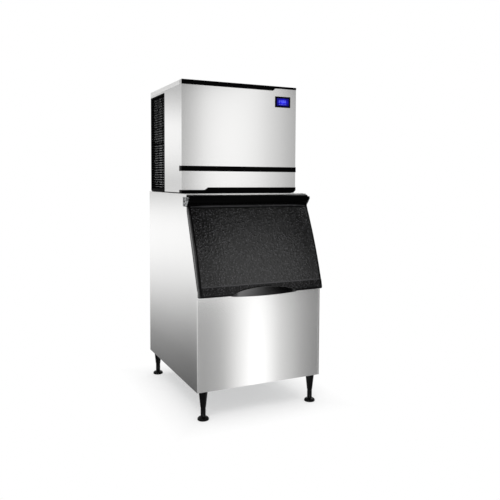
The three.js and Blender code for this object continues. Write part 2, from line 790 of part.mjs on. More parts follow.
// The front tray's outline as the face of the head, inset by a sheet for its hollow.
function trayFace(inset, bottom) {
  const side = headHalf - inset;
  return [
    [-side, bottom],
    [side - tray.chamfer, bottom],
    [side - tray.chamfer, headLevel(tray.lift)],
    [side, headLevel(tray.lift + tray.chamfer)],
    [side, headTop - inset],
    [-side, headTop - inset],
  ];
}

const displayBody = {
  left: display.left + displayHousing.inset,
  right: display.right - displayHousing.inset,
  bottom: headLevel(display.bottom + displayHousing.inset),
  top: headLevel(display.top - displayHousing.inset),
};

function headFrontPanel() {
  const [, corner, ...rest] = trayFace(0, headLevel(tray.lift));
  const face = [[-headHalf, headLevel(tray.lift)], corner, ...rest.slice(1)];
  const hollow = forward(trayFace(sheet, headLevel(-overrun)), trayBack - overrun, headDepth - sheet);
  const window = block(
    [displayBody.left - seat, displayBody.right + seat],
    [trayBack, headDepth + overrun],
    [displayBody.bottom - seat, displayBody.top + seat],
  );
  return cut(forward(face, trayBack, headDepth), hollow, window);
}

const trimBack = headDepth + seat;
const trimFront = trimBack + trim.thickness;

function topTrimStrip() {
  const low = headTop - topStrip.height;
  const narrow = headTop - topStrip.narrow;
  const face = [
    [-headHalf, low],
    [topStrip.stepLeft, low],
    [topStrip.stepRight, narrow],
    [headHalf, narrow],
    [headHalf, headTop],
    [-headHalf, headTop],
  ];
  return forward(face, trimBack, trimFront);
}

// The two ears by which a strip wraps the side returns of the front tray.
function stripEars(bottom, leftTop, rightTop, rightBottom) {
  const inner = headHalf + seat;
  const outer = inner + trim.thickness;
  const left = block([-outer, -inner], [trayBack, trimFront], [bottom, leftTop]);
  const right = block([inner, outer], [trayBack, trimFront], [rightBottom, rightTop]);
  return [left, right];
}

function middleTrimStrip() {
  const bottom = headLevel(middleStrip.bottom);
  const top = bottom + middleStrip.height;
  const reach = headHalf + seat + trim.thickness;
  const face = block([-reach, reach], [trimBack, trimFront], [bottom, top]);
  return join(face, ...stripEars(bottom, top, top, bottom));
}

function bottomTrimStrip() {
  const bottom = headLevel(tray.lift);
  const low = headLevel(bottomStrip.low);
  const high = headLevel(bottomStrip.high);
  const reach = headHalf + seat + trim.thickness;
  const cornerLevel = bottom + tray.chamfer;
  const face = [
    [-reach, bottom],
    [reach - tray.chamfer, bottom],
    [reach, cornerLevel],
    [reach, high],
    [bottomStrip.stepRight, high],
    [bottomStrip.stepLeft, low],
    [-reach, low],
  ];
  return join(forward(face, trimBack, trimFront), ...stripEars(bottom, low, high, cornerLevel));
}

function intakeGrille() {
  const front = -headHalf;
  const back = front + grille.thickness;
  const depths = [grilleBack, grille.front - seat];
  const levels = [headLevel(grille.bottom), headLevel(grille.top) - seat];
  const insideDepths = [depths[0] + grille.sideRim, depths[1] - grille.frontRim];
  const insideLevels = [levels[0] + grille.endRim, levels[1] - grille.endRim];
  const rim = cut(
    block([front, back], depths, levels),
    block([front - overrun, back + overrun], insideDepths, insideLevels),
  );
  const pitch = (insideLevels[1] - insideLevels[0]) / louvre.count;
  const bladeDepths = insideDepths.map((depth, i) => depth + (i ? seat : -seat));
  const blades = Array.from({ length: louvre.count }, (_, i) => {
    const level = insideLevels[0] + pitch * i + louvre.thickness / 2;
    const section = [
      [front + sheet, level],
      [back - sheet, level + louvre.rise],
      [back - sheet, level + louvre.rise + louvre.thickness],
      [front + sheet, level + louvre.thickness],
    ];
    return forward(section, ...bladeDepths);
  });
  const apron = block([front, front + sheet], depths, [panFloor, levels[0] + grille.endRim]);
  return join(rim, apron, ...blades);
}

const filterOuter = -headHalf + grille.thickness + seat;

function airFilter() {
  const x = [filterOuter, filterOuter + filter.thickness];
  const depths = [grilleBack, grille.front - seat];
  const levels = [panTop + seat, headLevel(grille.top) - seat];
  const openDepth = depths[1] - depths[0] - 2 * filter.rim;
  const openHeight = levels[1] - levels[0] - 2 * filter.rim;
  const cellDepth = (openDepth - (filter.columns - 1) * filter.bar) / filter.columns;
  const cellHeight = (openHeight - (filter.rows - 1) * filter.bar) / filter.rows;
  const windows = [];
  for (let column = 0; column < filter.columns; column++) {
    const d0 = depths[0] + filter.rim + column * (cellDepth + filter.bar);
    for (let row = 0; row < filter.rows; row++) {
      const z0 = levels[0] + filter.rim + row * (cellHeight + filter.bar);
      windows.push(block([x[0] - overrun, x[1] + overrun], [d0, d0 + cellDepth], [z0, z0 + cellHeight]));
    }
  }
  return cut(block(x, depths, levels), ...windows);
}

function displayBezel() {
  const levels = [headLevel(display.bottom), headLevel(display.top)];
  const front = trimBack + display.bezel;
  const face = block([display.left, display.right], [trimBack, front], levels);
  const body = block(
    [displayBody.left, displayBody.right],
    [headDepth - displayHousing.depth, trimBack + seat],
    [displayBody.bottom, displayBody.top],
  );
  const pocket = block(
    [display.left + display.border - seat, display.right - display.border + seat],
    [trimBack + seat, front + overrun],
    [levels[0] + display.border - seat, levels[1] - display.border + seat],
  );
  return cut(join(face, body), pocket);
}

function displayScreen() {
  const back = trimBack + seat + seat;
  return block(
    [display.left + display.border, display.right - display.border],
    [back, back + display.glass],
    [headLevel(display.bottom) + display.border, headLevel(display.top) - display.border],
  );
}

// Ice-making section

function partitionWall() {
  const depths = [partitionBack, partitionFront];
  return block([-headInside, headInside], depths, [panTop + seat, panelTop - sheet - seat]);
}

function evaporatorGrid() {
  const { left, right } = evaporator;
  const cellFloor = evaporatorBack + evaporator.plate;
  const levels = [headLevel(evaporator.bottom), headLevel(evaporator.top)];
  const cellWidth = (right - left - (cells.columns + 1) * cells.divider) / cells.columns;
  const cellHeight = (levels[1] - levels[0] - (cells.rows + 1) * cells.divider) / cells.rows;
  const pockets = [];
  for (let column = 0; column < cells.columns; column++) {
    const x = left + cells.divider + column * (cellWidth + cells.divider);
    for (let row = 0; row < cells.rows; row++) {
      const z = levels[0] + cells.divider + row * (cellHeight + cells.divider);
      pockets.push(block([x, x + cellWidth], [cellFloor, evaporatorFront + overrun], [z, z + cellHeight]));
    }
  }
  const lugs = [left, right - lug.width].flatMap((x) =>
    [levels[0], levels[1] - lug.height].map((z) =>
      block([x, x + lug.width], [partitionFront + seat, cellFloor - evaporator.plate / 2], [z, z + lug.height]),
    ),
  );
  return join(cut(block([left, right], [evaporatorBack, evaporatorFront], levels), ...pockets), ...lugs);
}

function evaporatorCoil() {
  const depth = evaporatorBack - seat - coil.radius;
  const middleX = (evaporator.left + evaporator.right) / 2;
  const middleLevel = headLevel((evaporator.bottom + evaporator.top) / 2);
  const ends = [middleX - coil.straight / 2, middleX + coil.straight / 2];
  const runs = [];
  for (let pass = 0; pass < coil.passes; pass++) {
    const level = middleLevel + (pass - (coil.passes - 1) / 2) * coil.pitch;
    runs.push(rodX(coil.radius, ...ends, depth, level, coil.sides));
    if (pass === coil.passes - 1) continue;
    const right = pass % 2 === 0;
    const x = right ? ends[1] - seat : ends[0] + seat;
    const centre = new THREE.Vector3(x, -depth, level + coil.pitch / 2);
    const out = right ? X : X.clone().negate();
    runs.push(tubeAlong(new HalfTurn(centre, out, Z, coil.pitch / 2), coil.radius, coil.bendSteps, coil.sides));
  }
  return join(...runs);
}

const distributorLevel = headLevel(evaporator.top) + seat + distributor.radius;
const curtainAxis = headLevel(curtain.axis);
const earX = [
  evaporator.left - distributor.ear - curtainClearance / 2,
  evaporator.right + curtainClearance / 2,
];

function waterDistributor() {
  const { radius, ear, nozzle } = distributor;
  const depth = distributorDepth;
  const pipe = rodX(radius, earX[0], earX[1] + 2 * ear + nozzle, depth, distributorLevel);
  const earLevels = [distributorLevel - radius, curtainAxis + distributor.earHeight];
  const earDepths = [depth - distributor.earRear, curtainDepth + curtain.barrel];
  const ears = earX.map((x) => block([x, x + ear], earDepths, earLevels));
  const pinHoles = earX.map((x) =>
    rodX(curtain.pin + running, x - overrun, x + ear + overrun, curtainDepth, curtainAxis),
  );
  const drop = rodZ(nozzle, tubeX, depth, distributorLevel - distributor.nozzleDrop, distributorLevel);
  return cut(join(pipe, ...ears, drop), ...pinHoles);
}

const tubeX = earX[1] + distributor.ear + waterTube.radius / 2;

function waterCurtain() {
  const x = [evaporator.left + curtainClearance / 2, evaporator.right - curtainClearance / 2];
  const front = curtainDepth + curtain.thickness;
  const bottom = headLevel(curtain.bottom);
  const lipDepth = curtain.lip / 2;
  const profile = [
    [curtainDepth, bottom + curtain.lip],
    [curtainDepth + lipDepth, bottom],
    [front + lipDepth, bottom],
    [front, bottom + curtain.lip],
    [front, curtainAxis],
    [curtainDepth, curtainAxis],
  ];
  const sheetForm = across(profile, ...x);
  const barrel = rodX(curtain.barrel, ...x, curtainDepth, curtainAxis, coil.sides);
  const pin = rodX(curtain.pin, earX[0], earX[1] + distributor.ear, curtainDepth, curtainAxis);
  return join(sheetForm, barrel, pin);
}

function waterTrough() {
  const x = [iceDrop.left, trough.right];
  const depths = [partitionFront + seat, curtainDepth + trough.ahead];
  const levels = [headLevel(trough.bottom), headLevel(trough.top)];
  const hollow = block(
    [x[0] + trough.skin, x[1] - trough.skin],
    [depths[0] + trough.skin, depths[1] - trough.skin],
    [levels[0] + trough.skin, levels[1] + overrun],
  );
  return cut(block(x, depths, levels), hollow);
}

const voluteBottom = headLevel(trough.bottom) + trough.skin + seat;
const voluteTop = voluteBottom + pump.voluteHeight;

function pumpBody() {
  const motorBottom = headLevel(pumpMotor.bottom);
  const motorTop = motorBottom + pumpMotor.height;
  const inner = pump.volute - pump.skin;
  const ceiling = voluteTop - pump.skin;
  const bore = impeller.shaft + running;
  const profile = [
    [inner, voluteBottom],
    [pump.volute, voluteBottom],
    [pump.volute, voluteTop],
    [pump.column, voluteTop],
    [pump.column, motorBottom],
    [pumpMotor.radius, motorBottom],
    [pumpMotor.radius, motorTop - pump.skin],
    [pumpMotor.radius - pump.skin, motorTop],
    [0, motorTop],
    [0, motorBottom],
    [bore, motorBottom],
    [bore, ceiling],
    [inner, ceiling],
    [inner, voluteBottom],
  ];
  const half = pumpBracket.width / 2;
  const mount = block(
    [pump.x - half, pump.x + half],
    [partitionFront + seat, pumpDepth - pumpMotor.radius / 2],
    [motorBottom + pump.skin, motorBottom + pumpBracket.height],
  );
  const outletLevel = voluteTop - distributor.nozzle - pump.skin;
  const outletBack = distributorDepth;
  const outlet = rodX(distributor.nozzle, tubeX, pump.x - inner, outletBack, outletLevel);
  const riser = rodZ(distributor.nozzle, tubeX, outletBack, outletLevel, tubeBottom - seat);
  const notchLevels = [voluteBottom - overrun, voluteBottom + half / 2];
  const notch = block([pump.x - half / 2, pump.x + half / 2], [0, pumpDepth], notchLevels);
  return cut(join(turned(profile, pump.x, pumpDepth), mount, outlet, riser), notch);
}

const tubeBottom = voluteTop + distributor.nozzle;
const tubeTop = distributorLevel - distributor.nozzleDrop - seat;

function waterTubeForm() {
  const pipe = rodZ(waterTube.radius, tubeX, distributorDepth, tubeBottom, tubeTop);
  return cut(pipe, rodZ(waterTube.bore, tubeX, distributorDepth, tubeBottom - overrun, tubeTop + overrun));
}

function pumpImpeller() {
  const bottom = voluteBottom + pump.skin;
  const disc = rodZ(impeller.radius, pump.x, pumpDepth, bottom, bottom + impeller.disc);
  const top = bottom + impeller.disc + vane.height;
  const hub = rodZ(impeller.hub, pump.x, pumpDepth, bottom, top);
  const shaft = rodZ(impeller.shaft, pump.x, pumpDepth, bottom, top + impeller.shaftLength);
  const half = vane.thickness / 2;
  const vanes = Array.from({ length: vane.count }, (_, i) => {
    const leaf = block([vane.inner, vane.outer], [-half, half], [bottom, top]);
    leaf.rotateZ((i * 2 * Math.PI) / vane.count);
    return leaf.translate(pump.x, -pumpDepth, 0);
  });
  return join(disc, hub, shaft, ...vanes);
}

const floatLevel = headLevel(floatValve.level);

function floatValveBody() {
  const half = floatValve.body / 2;
  const right = floatValve.pivotX - floatValve.eye - seat;
  const levels = [floatLevel - half, floatLevel + half];
  const body = block([floatValve.left, right], [partitionFront + seat, pumpDepth], levels);
  const cheek = block(
    [right - seat, floatValve.pivotX + floatValve.eye],
    [pumpDepth - half, pumpDepth - floatValve.eyeLength / 2 - seat],
    [floatLevel - floatValve.eye, floatLevel + floatValve.eye],
  );
  const pinEnd = pumpDepth + floatValve.eyeLength / 2;
  const pin = rodY(floatValve.pin, floatValve.pivotX, pumpDepth - half, pinEnd, floatLevel);
  return join(body, cheek, pin);
}

function floatArmForm() {
  const { eye, eyeLength, pin, pivotX } = floatValve;
  const depths = [pumpDepth - eyeLength / 2, pumpDepth + eyeLength / 2];
  const eyeRing = cut(
    rodY(eye, pivotX, ...depths, floatLevel),
    rodY(pin + running, pivotX, depths[0] - overrun, depths[1] + overrun, floatLevel),
  );
  const end = pivotX + floatArm.reach;
  const start = pivotX + eye - floatArm.rod / 2;
  const rod = rodX(floatArm.rod, start, end + floatArm.rod, pumpDepth, floatLevel, coil.sides);
  const ballTop = floatLevel - floatArm.drop;
  const stem = rodZ(floatArm.rod, end, pumpDepth, ballTop - floatArm.rod, floatLevel, coil.sides);
  const ball = rodZ(floatArm.radius, end, pumpDepth, ballTop - floatArm.height, ballTop);
  return join(eyeRing, rod, stem, ball);
}

function iceLevelProbe() {
  const armLevels = [headLevel(probe.lift), headLevel(probe.lift) + probe.plate];
  const half = probe.arm / 2;
  const depths = [probeDepth - half, probeDepth + half];
  const arm = block([probe.standX, probe.x + probe.radius], depths, armLevels);
  const stand = block([probe.standX, probe.standX + probe.plate], depths, [panTop + seat, armLevels[1]]);
  const stem = rodZ(probe.radius, probe.x, probeDepth, binTop - probe.below, armLevels[0] + probe.plate / 2);
  return join(arm, stand, stem);
}

// Refrigeration section

const condenserOuter = filterOuter + filter.thickness + seat;
const condenserInner = condenserOuter + condenser.thickness;
const condenserFront = grille.front - seat;

function condenserCoil() {
  const middle = (condenserOuter + condenserInner) / 2;
  const levels = [panTop + seat, headLevel(condenser.top)];
  const inset = condenser.endPlate;
  const fins = block(
    [condenserOuter + inset, condenserInner - inset],
    [condenser.back, condenserFront],
    [levels[0] + inset, levels[1] - inset],
  );
  const plates = [condenser.back, condenserFront - condenser.endPlate].map((depth) =>
    block([condenserOuter, condenserInner], [depth, depth + condenser.endPlate], levels),
  );
  const { radius, bend, count, firstLevel } = condenserTube;
  const pitch = (levels[1] - levels[0] - 2 * firstLevel) / (count - 1);
  const bends = Array.from({ length: count }, (_, i) => {
    const centre = new THREE.Vector3(middle, -condenser.back - seat, levels[0] + firstLevel + pitch * i);
    return tubeAlong(new HalfTurn(centre, Y, Z, bend), radius, coil.bendSteps, coil.sides);
  });
  return join(fins, ...plates, ...bends);
}

const shroudInner = condenserInner + seat;
const shroudOuter = shroudInner + shroud.depth;
const fanLevel = headLevel(shroud.axisHeight);

function fanShroud() {
  const depths = [condenser.back, condenserFront];
  const levels = [panTop + seat, headLevel(condenser.top)];
  const { skin, axisDepth } = shroud;
  const box = block([shroudInner, shroudOuter], depths, levels);
  const hollow = block(
    [shroudInner - overrun, shroudOuter - skin],
    [depths[0] + skin, depths[1] - skin],
    [levels[0] + skin, levels[1] - skin],
  );
  const hole = rodX(shroud.hole, shroudInner, shroudOuter + overrun, axisDepth, fanLevel, roundSides);
  const half = fanBracket.width / 2;
  const strapDepths = [axisDepth - half, axisDepth + half];
  const end = shroudOuter + fanBracket.reach;
  const strapLevels = [fanLevel - fanBracket.half, fanLevel + fanBracket.half];
  const bar = block([end - fanBracket.strap, end], strapDepths, strapLevels);
  const arms = [strapLevels[0], strapLevels[1] - fanBracket.strap].map((level) =>
    block([shroudOuter - skin / 2, end], strapDepths, [level, level + fanBracket.strap]),
  );
  const holeStart = end - fanBracket.strap - overrun;
  const shaftHole = rodX(fan.shaft + running, holeStart, end + overrun, axisDepth, fanLevel);
  return cut(join(cut(box, hollow, hole), bar, ...arms), shaftHole);
}

const motorFace = shroudOuter + fanBracket.reach + seat;

function fanMotorForm() {
  const motorEnd = motorFace + fanMotor.length;
  const body = rodX(fanMotor.radius, motorFace, motorEnd, shroud.axisDepth, fanLevel, roundSides);
  const boreEnd = motorFace + fan.shaftLength;
  return cut(body, rodX(fan.shaft + running, motorFace - overrun, boreEnd, shroud.axisDepth, fanLevel));
}

function fanBlade() {
  const hubStart = shroudOuter + fan.gap;
  const hubEnd = hubStart + fan.hubLength;
  const hub = rodX(fan.hub, hubStart, hubEnd, shroud.axisDepth, fanLevel);
  const shaftEnd = motorFace + fan.shaftLength - overrun;
  const shaft = rodX(fan.shaft, hubEnd - seat, shaftEnd, shroud.axisDepth, fanLevel);
  const leaf = new THREE.Shape();
  const tip = fan.radius;
  const chord = fan.hub;
  leaf.moveTo(fanRootRadius, -chord / 2);
  leaf.quadraticCurveTo(tip / 2, -chord, tip - chord / 2, -chord);
  leaf.quadraticCurveTo(tip, -chord, tip - fan.blade, 0);
  leaf.quadraticCurveTo(tip - chord / 2, chord, tip / 2, chord);
  leaf.lineTo(fanRootRadius, chord / 2);
  const middle = (hubStart + hubEnd) / 2;
  const leaves = Array.from({ length: fan.blades }, (_, i) => {
    const blade = extrusion(leaf, fan.blade).translate(0, 0, -fan.blade / 2);
    blade.rotateX(bladePitchAngle);
    blade.rotateZ((i * 2 * Math.PI) / fan.blades);
    return blade.rotateY(Math.PI / 2).translate(middle, -shroud.axisDepth, fanLevel);
  });
  return join(hub, shaft, ...leaves);
}

function compressorForm() {
  const { x, depth, radius, height } = compressor;
  const { half, thickness, mountRadius } = compressorBase;
  const baseBottom = panTop + seat + compressorBase.mountHeight;
  const bottom = baseBottom + thickness - seat;
  const top = bottom + height;
  const middle = (bottom + top) / 2;
  const profile = [
    [0, bottom],
    [radius - dome.cap, bottom],
    [radius, bottom + dome.cap],
    [radius, middle - dome.weldHeight / 2],
    [radius + dome.weld, middle - dome.weldHeight / 2],
    [radius + dome.weld, middle + dome.weldHeight / 2],
    [radius, middle + dome.weldHeight / 2],
    [radius, top - dome.shoulder],
    [radius - dome.weld, top - dome.cap],
    [radius - dome.cap, top - dome.weld],
    [radius / 2, top],
    [0, top],
  ];
  const baseLevels = [baseBottom, baseBottom + thickness];
  const base = block([x - half, x + half], [depth - half, depth + half], baseLevels);
  const reach = half - mountRadius;
  const mountTop = baseBottom + thickness / 2;
  const mounts = [-reach, reach].flatMap((dx) =>
    [-reach, reach].map((dy) => rodZ(mountRadius, x + dx, depth + dy, panTop + seat, mountTop)),
  );
  const box = block(
    [x - compressorBox.width / 2, x + compressorBox.width / 2],
    [depth - radius - compressorBox.reach, depth - radius / 2],
    [middle + dome.weldHeight, middle + dome.weldHeight + compressorBox.height],
  );
  return join(turned(profile, x, depth), base, ...mounts, box);
}

const rockerLevel = headLevel(rocker.level);

function controlBoxForm() {
  const body = block(
    [controlBox.left, headInside],
    [controlBack, controlFront],
    [headLevel(controlBox.bottom), headLevel(controlBox.top)],
  );
  const half = rocker.width / 2 + running;
  const reach = rocker.half + running;
  const pocket = block(
    [rocker.x - half, rocker.x + half],
    [controlFront - rocker.pocket, controlFront + overrun],
    [rockerLevel - reach, rockerLevel + reach],
  );
  return cut(body, pocket);
}

// A rocker with a half-round back that turns about an axis in the face of the control box.
function modeSwitch() {
  const shape = new THREE.Shape();
  const { half, proud, dip } = rocker;
  shape.absarc(-controlFront, rockerLevel, half - running, -Math.PI / 2, Math.PI / 2, false);
  shape.lineTo(-controlFront - proud, rockerLevel + half - running - proud / 2);
  shape.lineTo(-controlFront - proud + dip, rockerLevel);
  shape.lineTo(-controlFront - proud, rockerLevel - half + running + proud / 2);
  const turn = new THREE.Matrix4().makeBasis(Y, Z, X);
  return extrusion(shape, rocker.width).applyMatrix4(turn).translate(rocker.x - rocker.width / 2, 0, 0);
}

function cableGland() {
  const level = headLevel(gland.level);
  const barrel = rodY(gland.radius, gland.x, -gland.reach, sheet + gland.reach, level);
  const outside = rodY(gland.flange, gland.x, -seat - gland.flangeThickness, -seat, level);
  const inside = rodY(gland.flange, gland.x, sheet + seat, sheet + seat + gland.flangeThickness, level);
  const bore = rodY(gland.radius / 2, gland.x, -gland.reach - overrun, sheet + gland.reach + overrun, level);
  return cut(join(barrel, outside, inside), bore);
}

function waterInletValve() {
  const { x, width, depth, height, radius, standoff } = inletValve;
  const level = headLevel(inletValve.level);
  const levels = [level - height / 2, level + height / 2];
  const body = block([x - width / 2, x + width / 2], [standoff, standoff + depth], levels);
  const fitting = rodY(radius, x, -drain.reach, standoff + depth / 2, level);
  const collar = rodY(radius + gland.flangeThickness, x, sheet + seat, standoff + depth / 2, level);
  const bore = rodY(radius / 2, x, -drain.reach - overrun, standoff, level);
  return cut(join(body, fitting, collar), bore);
}

// Assembly

const bin = new THREE.Group();
bin.add(
  piece("bin_side_panel_left", binSidePanel(-1), finishes.stainless),
  piece("bin_side_panel_right", binSidePanel(1), finishes.stainless),
  piece("bin_back_panel", binBackPanel(), finishes.galvanised),
  piece("bin_front_panel", binFrontPanel(), finishes.stainless),
  piece("bin_base_pan", binBasePan(), finishes.galvanised),
  piece("bin_deck", binDeck(), finishes.stainless),
  piece("bin_header", binHeader(), finishes.stainless),
  piece("bin_liner", binLiner(), finishes.whitePlastic),
  piece("bin_liner_wall_left", linerWall(-1), finishes.whitePlastic),
  piece("bin_liner_wall_right", linerWall(1), finishes.whitePlastic),
  piece("bin_insulation", binInsulation(), finishes.foam),
  piece("bin_drain_fitting", binDrain(), finishes.whitePlastic),
  piece("hinge_bracket_left", hingeBracket(-1), finishes.galvanised),
  piece("hinge_bracket_right", hingeBracket(1), finishes.galvanised),
);
for (const [place, at] of Object.entries(legPlaces())) {
  bin.add(piece(`leg_${place}`, legSleeve(at), finishes.blackSteel));
  bin.add(piece(`foot_${place}`, footPad(at), finishes.blackSteel));
}

const doorGroup = new THREE.Group();
doorGroup.add(
  piece("door_shell", doorShell(), finishes.blackPlastic),
  piece("door_liner", doorLiner(), finishes.whitePlastic),
  piece("door_gasket", doorGasketRing(), finishes.blackRubber),
);

const head = new THREE.Group();
head.add(
  piece("head_gasket", headGasketRing(), finishes.blackRubber),
  piece("head_base_pan", headBasePan(), finishes.galvanised),
  piece("head_side_panel_left", headSidePanel(-1), finishes.stainless),
  piece("head_side_panel_right", headSidePanel(1), finishes.stainless),
  piece("head_rear_panel", headRearPanel(), finishes.galvanised),
  piece("head_top_cover", headTopCover(), finishes.stainless),
  piece("head_front_panel", headFrontPanel(), finishes.stainless),
  piece("trim_strip_top", topTrimStrip(), finishes.blackTrim),
  piece("trim_strip_middle", middleTrimStrip(), finishes.blackTrim),
  piece("trim_strip_bottom", bottomTrimStrip(), finishes.blackTrim),
  piece("intake_grille", intakeGrille(), finishes.blackPlastic),
  piece("air_filter", airFilter(), finishes.filterMesh),
  piece("display_bezel", displayBezel(), finishes.blackTrim),
  piece("display_screen", displayScreen(), finishes.screen),
);

const iceSection = new THREE.Group();
iceSection.add(
  piece("partition_wall", partitionWall(), finishes.whitePlastic),
  piece("evaporator_grid", evaporatorGrid(), finishes.nickel),
  piece("evaporator_coil", evaporatorCoil(), finishes.copper),
  piece("water_distributor", waterDistributor(), finishes.whitePlastic),
  piece("water_curtain", waterCurtain(), finishes.whitePlastic),
  piece("water_trough", waterTrough(), finishes.whitePlastic),
  piece("pump_body", pumpBody(), finishes.blackPlastic),
  piece("pump_impeller", pumpImpeller(), finishes.whitePlastic),
  piece("water_tube", waterTubeForm(), finishes.whitePlastic),
  piece("float_valve", floatValveBody(), finishes.whitePlastic),
  piece("float_arm", floatArmForm(), finishes.whitePlastic),
  piece("ice_level_probe", iceLevelProbe(), finishes.nickel),
);

const coldSection = new THREE.Group();
coldSection.add(
  piece("condenser_coil", condenserCoil(), finishes.galvanised),
  piece("fan_shroud", fanShroud(), finishes.galvanised),
  piece("fan_motor", fanMotorForm(), finishes.blackSteel),
  piece("fan_blade", fanBlade(), finishes.galvanised),
  piece("compressor", compressorForm(), finishes.blackSteel),
  piece("control_box", controlBoxForm(), finishes.galvanised),
  piece("mode_switch", modeSwitch(), finishes.blackPlastic),
  piece("cable_gland", cableGland(), finishes.blackPlastic),
  piece("water_inlet_valve", waterInletValve(), finishes.whitePlastic),
);
head.add(iceSection, coldSection);

// The deepest point of the door's front sets the footprint's front, and the rear fittings its back.
function doorReach() {
  const rows = doorRows(doorBottom, doorTop);
  return Math.max(...rows.map((height) => doorFront(height) + handleSwell(0, height)));
}

const iceMaker = new THREE.Group();
iceMaker.name = "ice_maker";
iceMaker.add(bin, doorGroup, head);
iceMaker.position.y = (doorReach() - drain.reach) / 2;

export default iceMaker;
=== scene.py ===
"""Looks of a commercial ice maker: an ice-making head on an insulated bin with a sloped door."""

import json
import math

import bmesh
import bpy
from mathutils import Matrix, Vector


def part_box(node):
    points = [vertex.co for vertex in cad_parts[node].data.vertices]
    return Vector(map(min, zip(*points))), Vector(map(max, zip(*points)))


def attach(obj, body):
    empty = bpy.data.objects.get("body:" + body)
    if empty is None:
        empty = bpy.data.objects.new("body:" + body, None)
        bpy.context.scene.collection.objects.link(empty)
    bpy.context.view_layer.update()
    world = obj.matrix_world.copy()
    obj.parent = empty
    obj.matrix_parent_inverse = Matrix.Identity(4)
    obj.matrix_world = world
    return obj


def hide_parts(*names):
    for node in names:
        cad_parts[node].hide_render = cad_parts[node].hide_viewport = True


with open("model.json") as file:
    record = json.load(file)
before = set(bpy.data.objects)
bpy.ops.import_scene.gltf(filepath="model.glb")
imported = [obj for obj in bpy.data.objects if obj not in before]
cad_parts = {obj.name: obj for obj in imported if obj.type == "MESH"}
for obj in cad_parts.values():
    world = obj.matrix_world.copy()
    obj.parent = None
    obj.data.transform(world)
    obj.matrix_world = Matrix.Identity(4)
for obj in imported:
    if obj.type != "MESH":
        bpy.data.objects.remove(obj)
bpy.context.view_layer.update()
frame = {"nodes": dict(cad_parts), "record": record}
nodes = frame["nodes"]

MM = 0.001
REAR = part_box("head_rear_panel")[1][1]


def at(x, depth, z):
    """A point from x, depth from the back of the casing and height, all in millimetres."""
    return Vector((x * MM, REAR - depth * MM, z * MM))


def span_of(node):
    """Lowest and highest corner of a CAD node, as x, depth and height in millimetres."""
    (x0, y0, z0), (x1, y1, z1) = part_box(node)
    return (x0 / MM, (REAR - y1) / MM, z0 / MM), (x1 / MM, (REAR - y0) / MM, z1 / MM)


# Camera

PITCH, ROLL, YAW = math.radians(3.411), math.radians(0.300), math.radians(25.411)
CAMERA_PLACE = (-1460.9, 3825.4, 1303.8)  # x, depth and height in millimetres
FOCAL_SHARE = 591.16 / 500  # focal length in widths of the picture
SHIFT = 0.07
FILM = 36
NEAR_CLIP, FAR_CLIP = 0.05, 200


def place_camera():
    """The camera that was fitted to the photograph's edges."""
    right = Vector((math.cos(YAW), -math.sin(YAW), 0))
    ahead = Vector((math.sin(YAW) * math.cos(PITCH), math.cos(YAW) * math.cos(PITCH), -math.sin(PITCH)))
    up = right.cross(ahead)
    side = right * math.cos(ROLL) + up * math.sin(ROLL)
    top = up * math.cos(ROLL) - right * math.sin(ROLL)
    lens = bpy.data.cameras.new("camera")
    lens.sensor_width = FILM
    lens.lens = FOCAL_SHARE * FILM
    lens.shift_y = -SHIFT
    lens.clip_start = NEAR_CLIP
    lens.clip_end = FAR_CLIP
    camera = bpy.data.objects.new("camera", lens)
    bpy.context.scene.collection.objects.link(camera)
    turn = Matrix((side, top, -ahead)).transposed().to_4x4()
    camera.matrix_world = Matrix.Translation(at(*CAMERA_PLACE)) @ turn
    bpy.context.scene.camera = camera


place_camera()
bpy.context.scene.view_settings.view_transform = "Standard"


# Node helpers


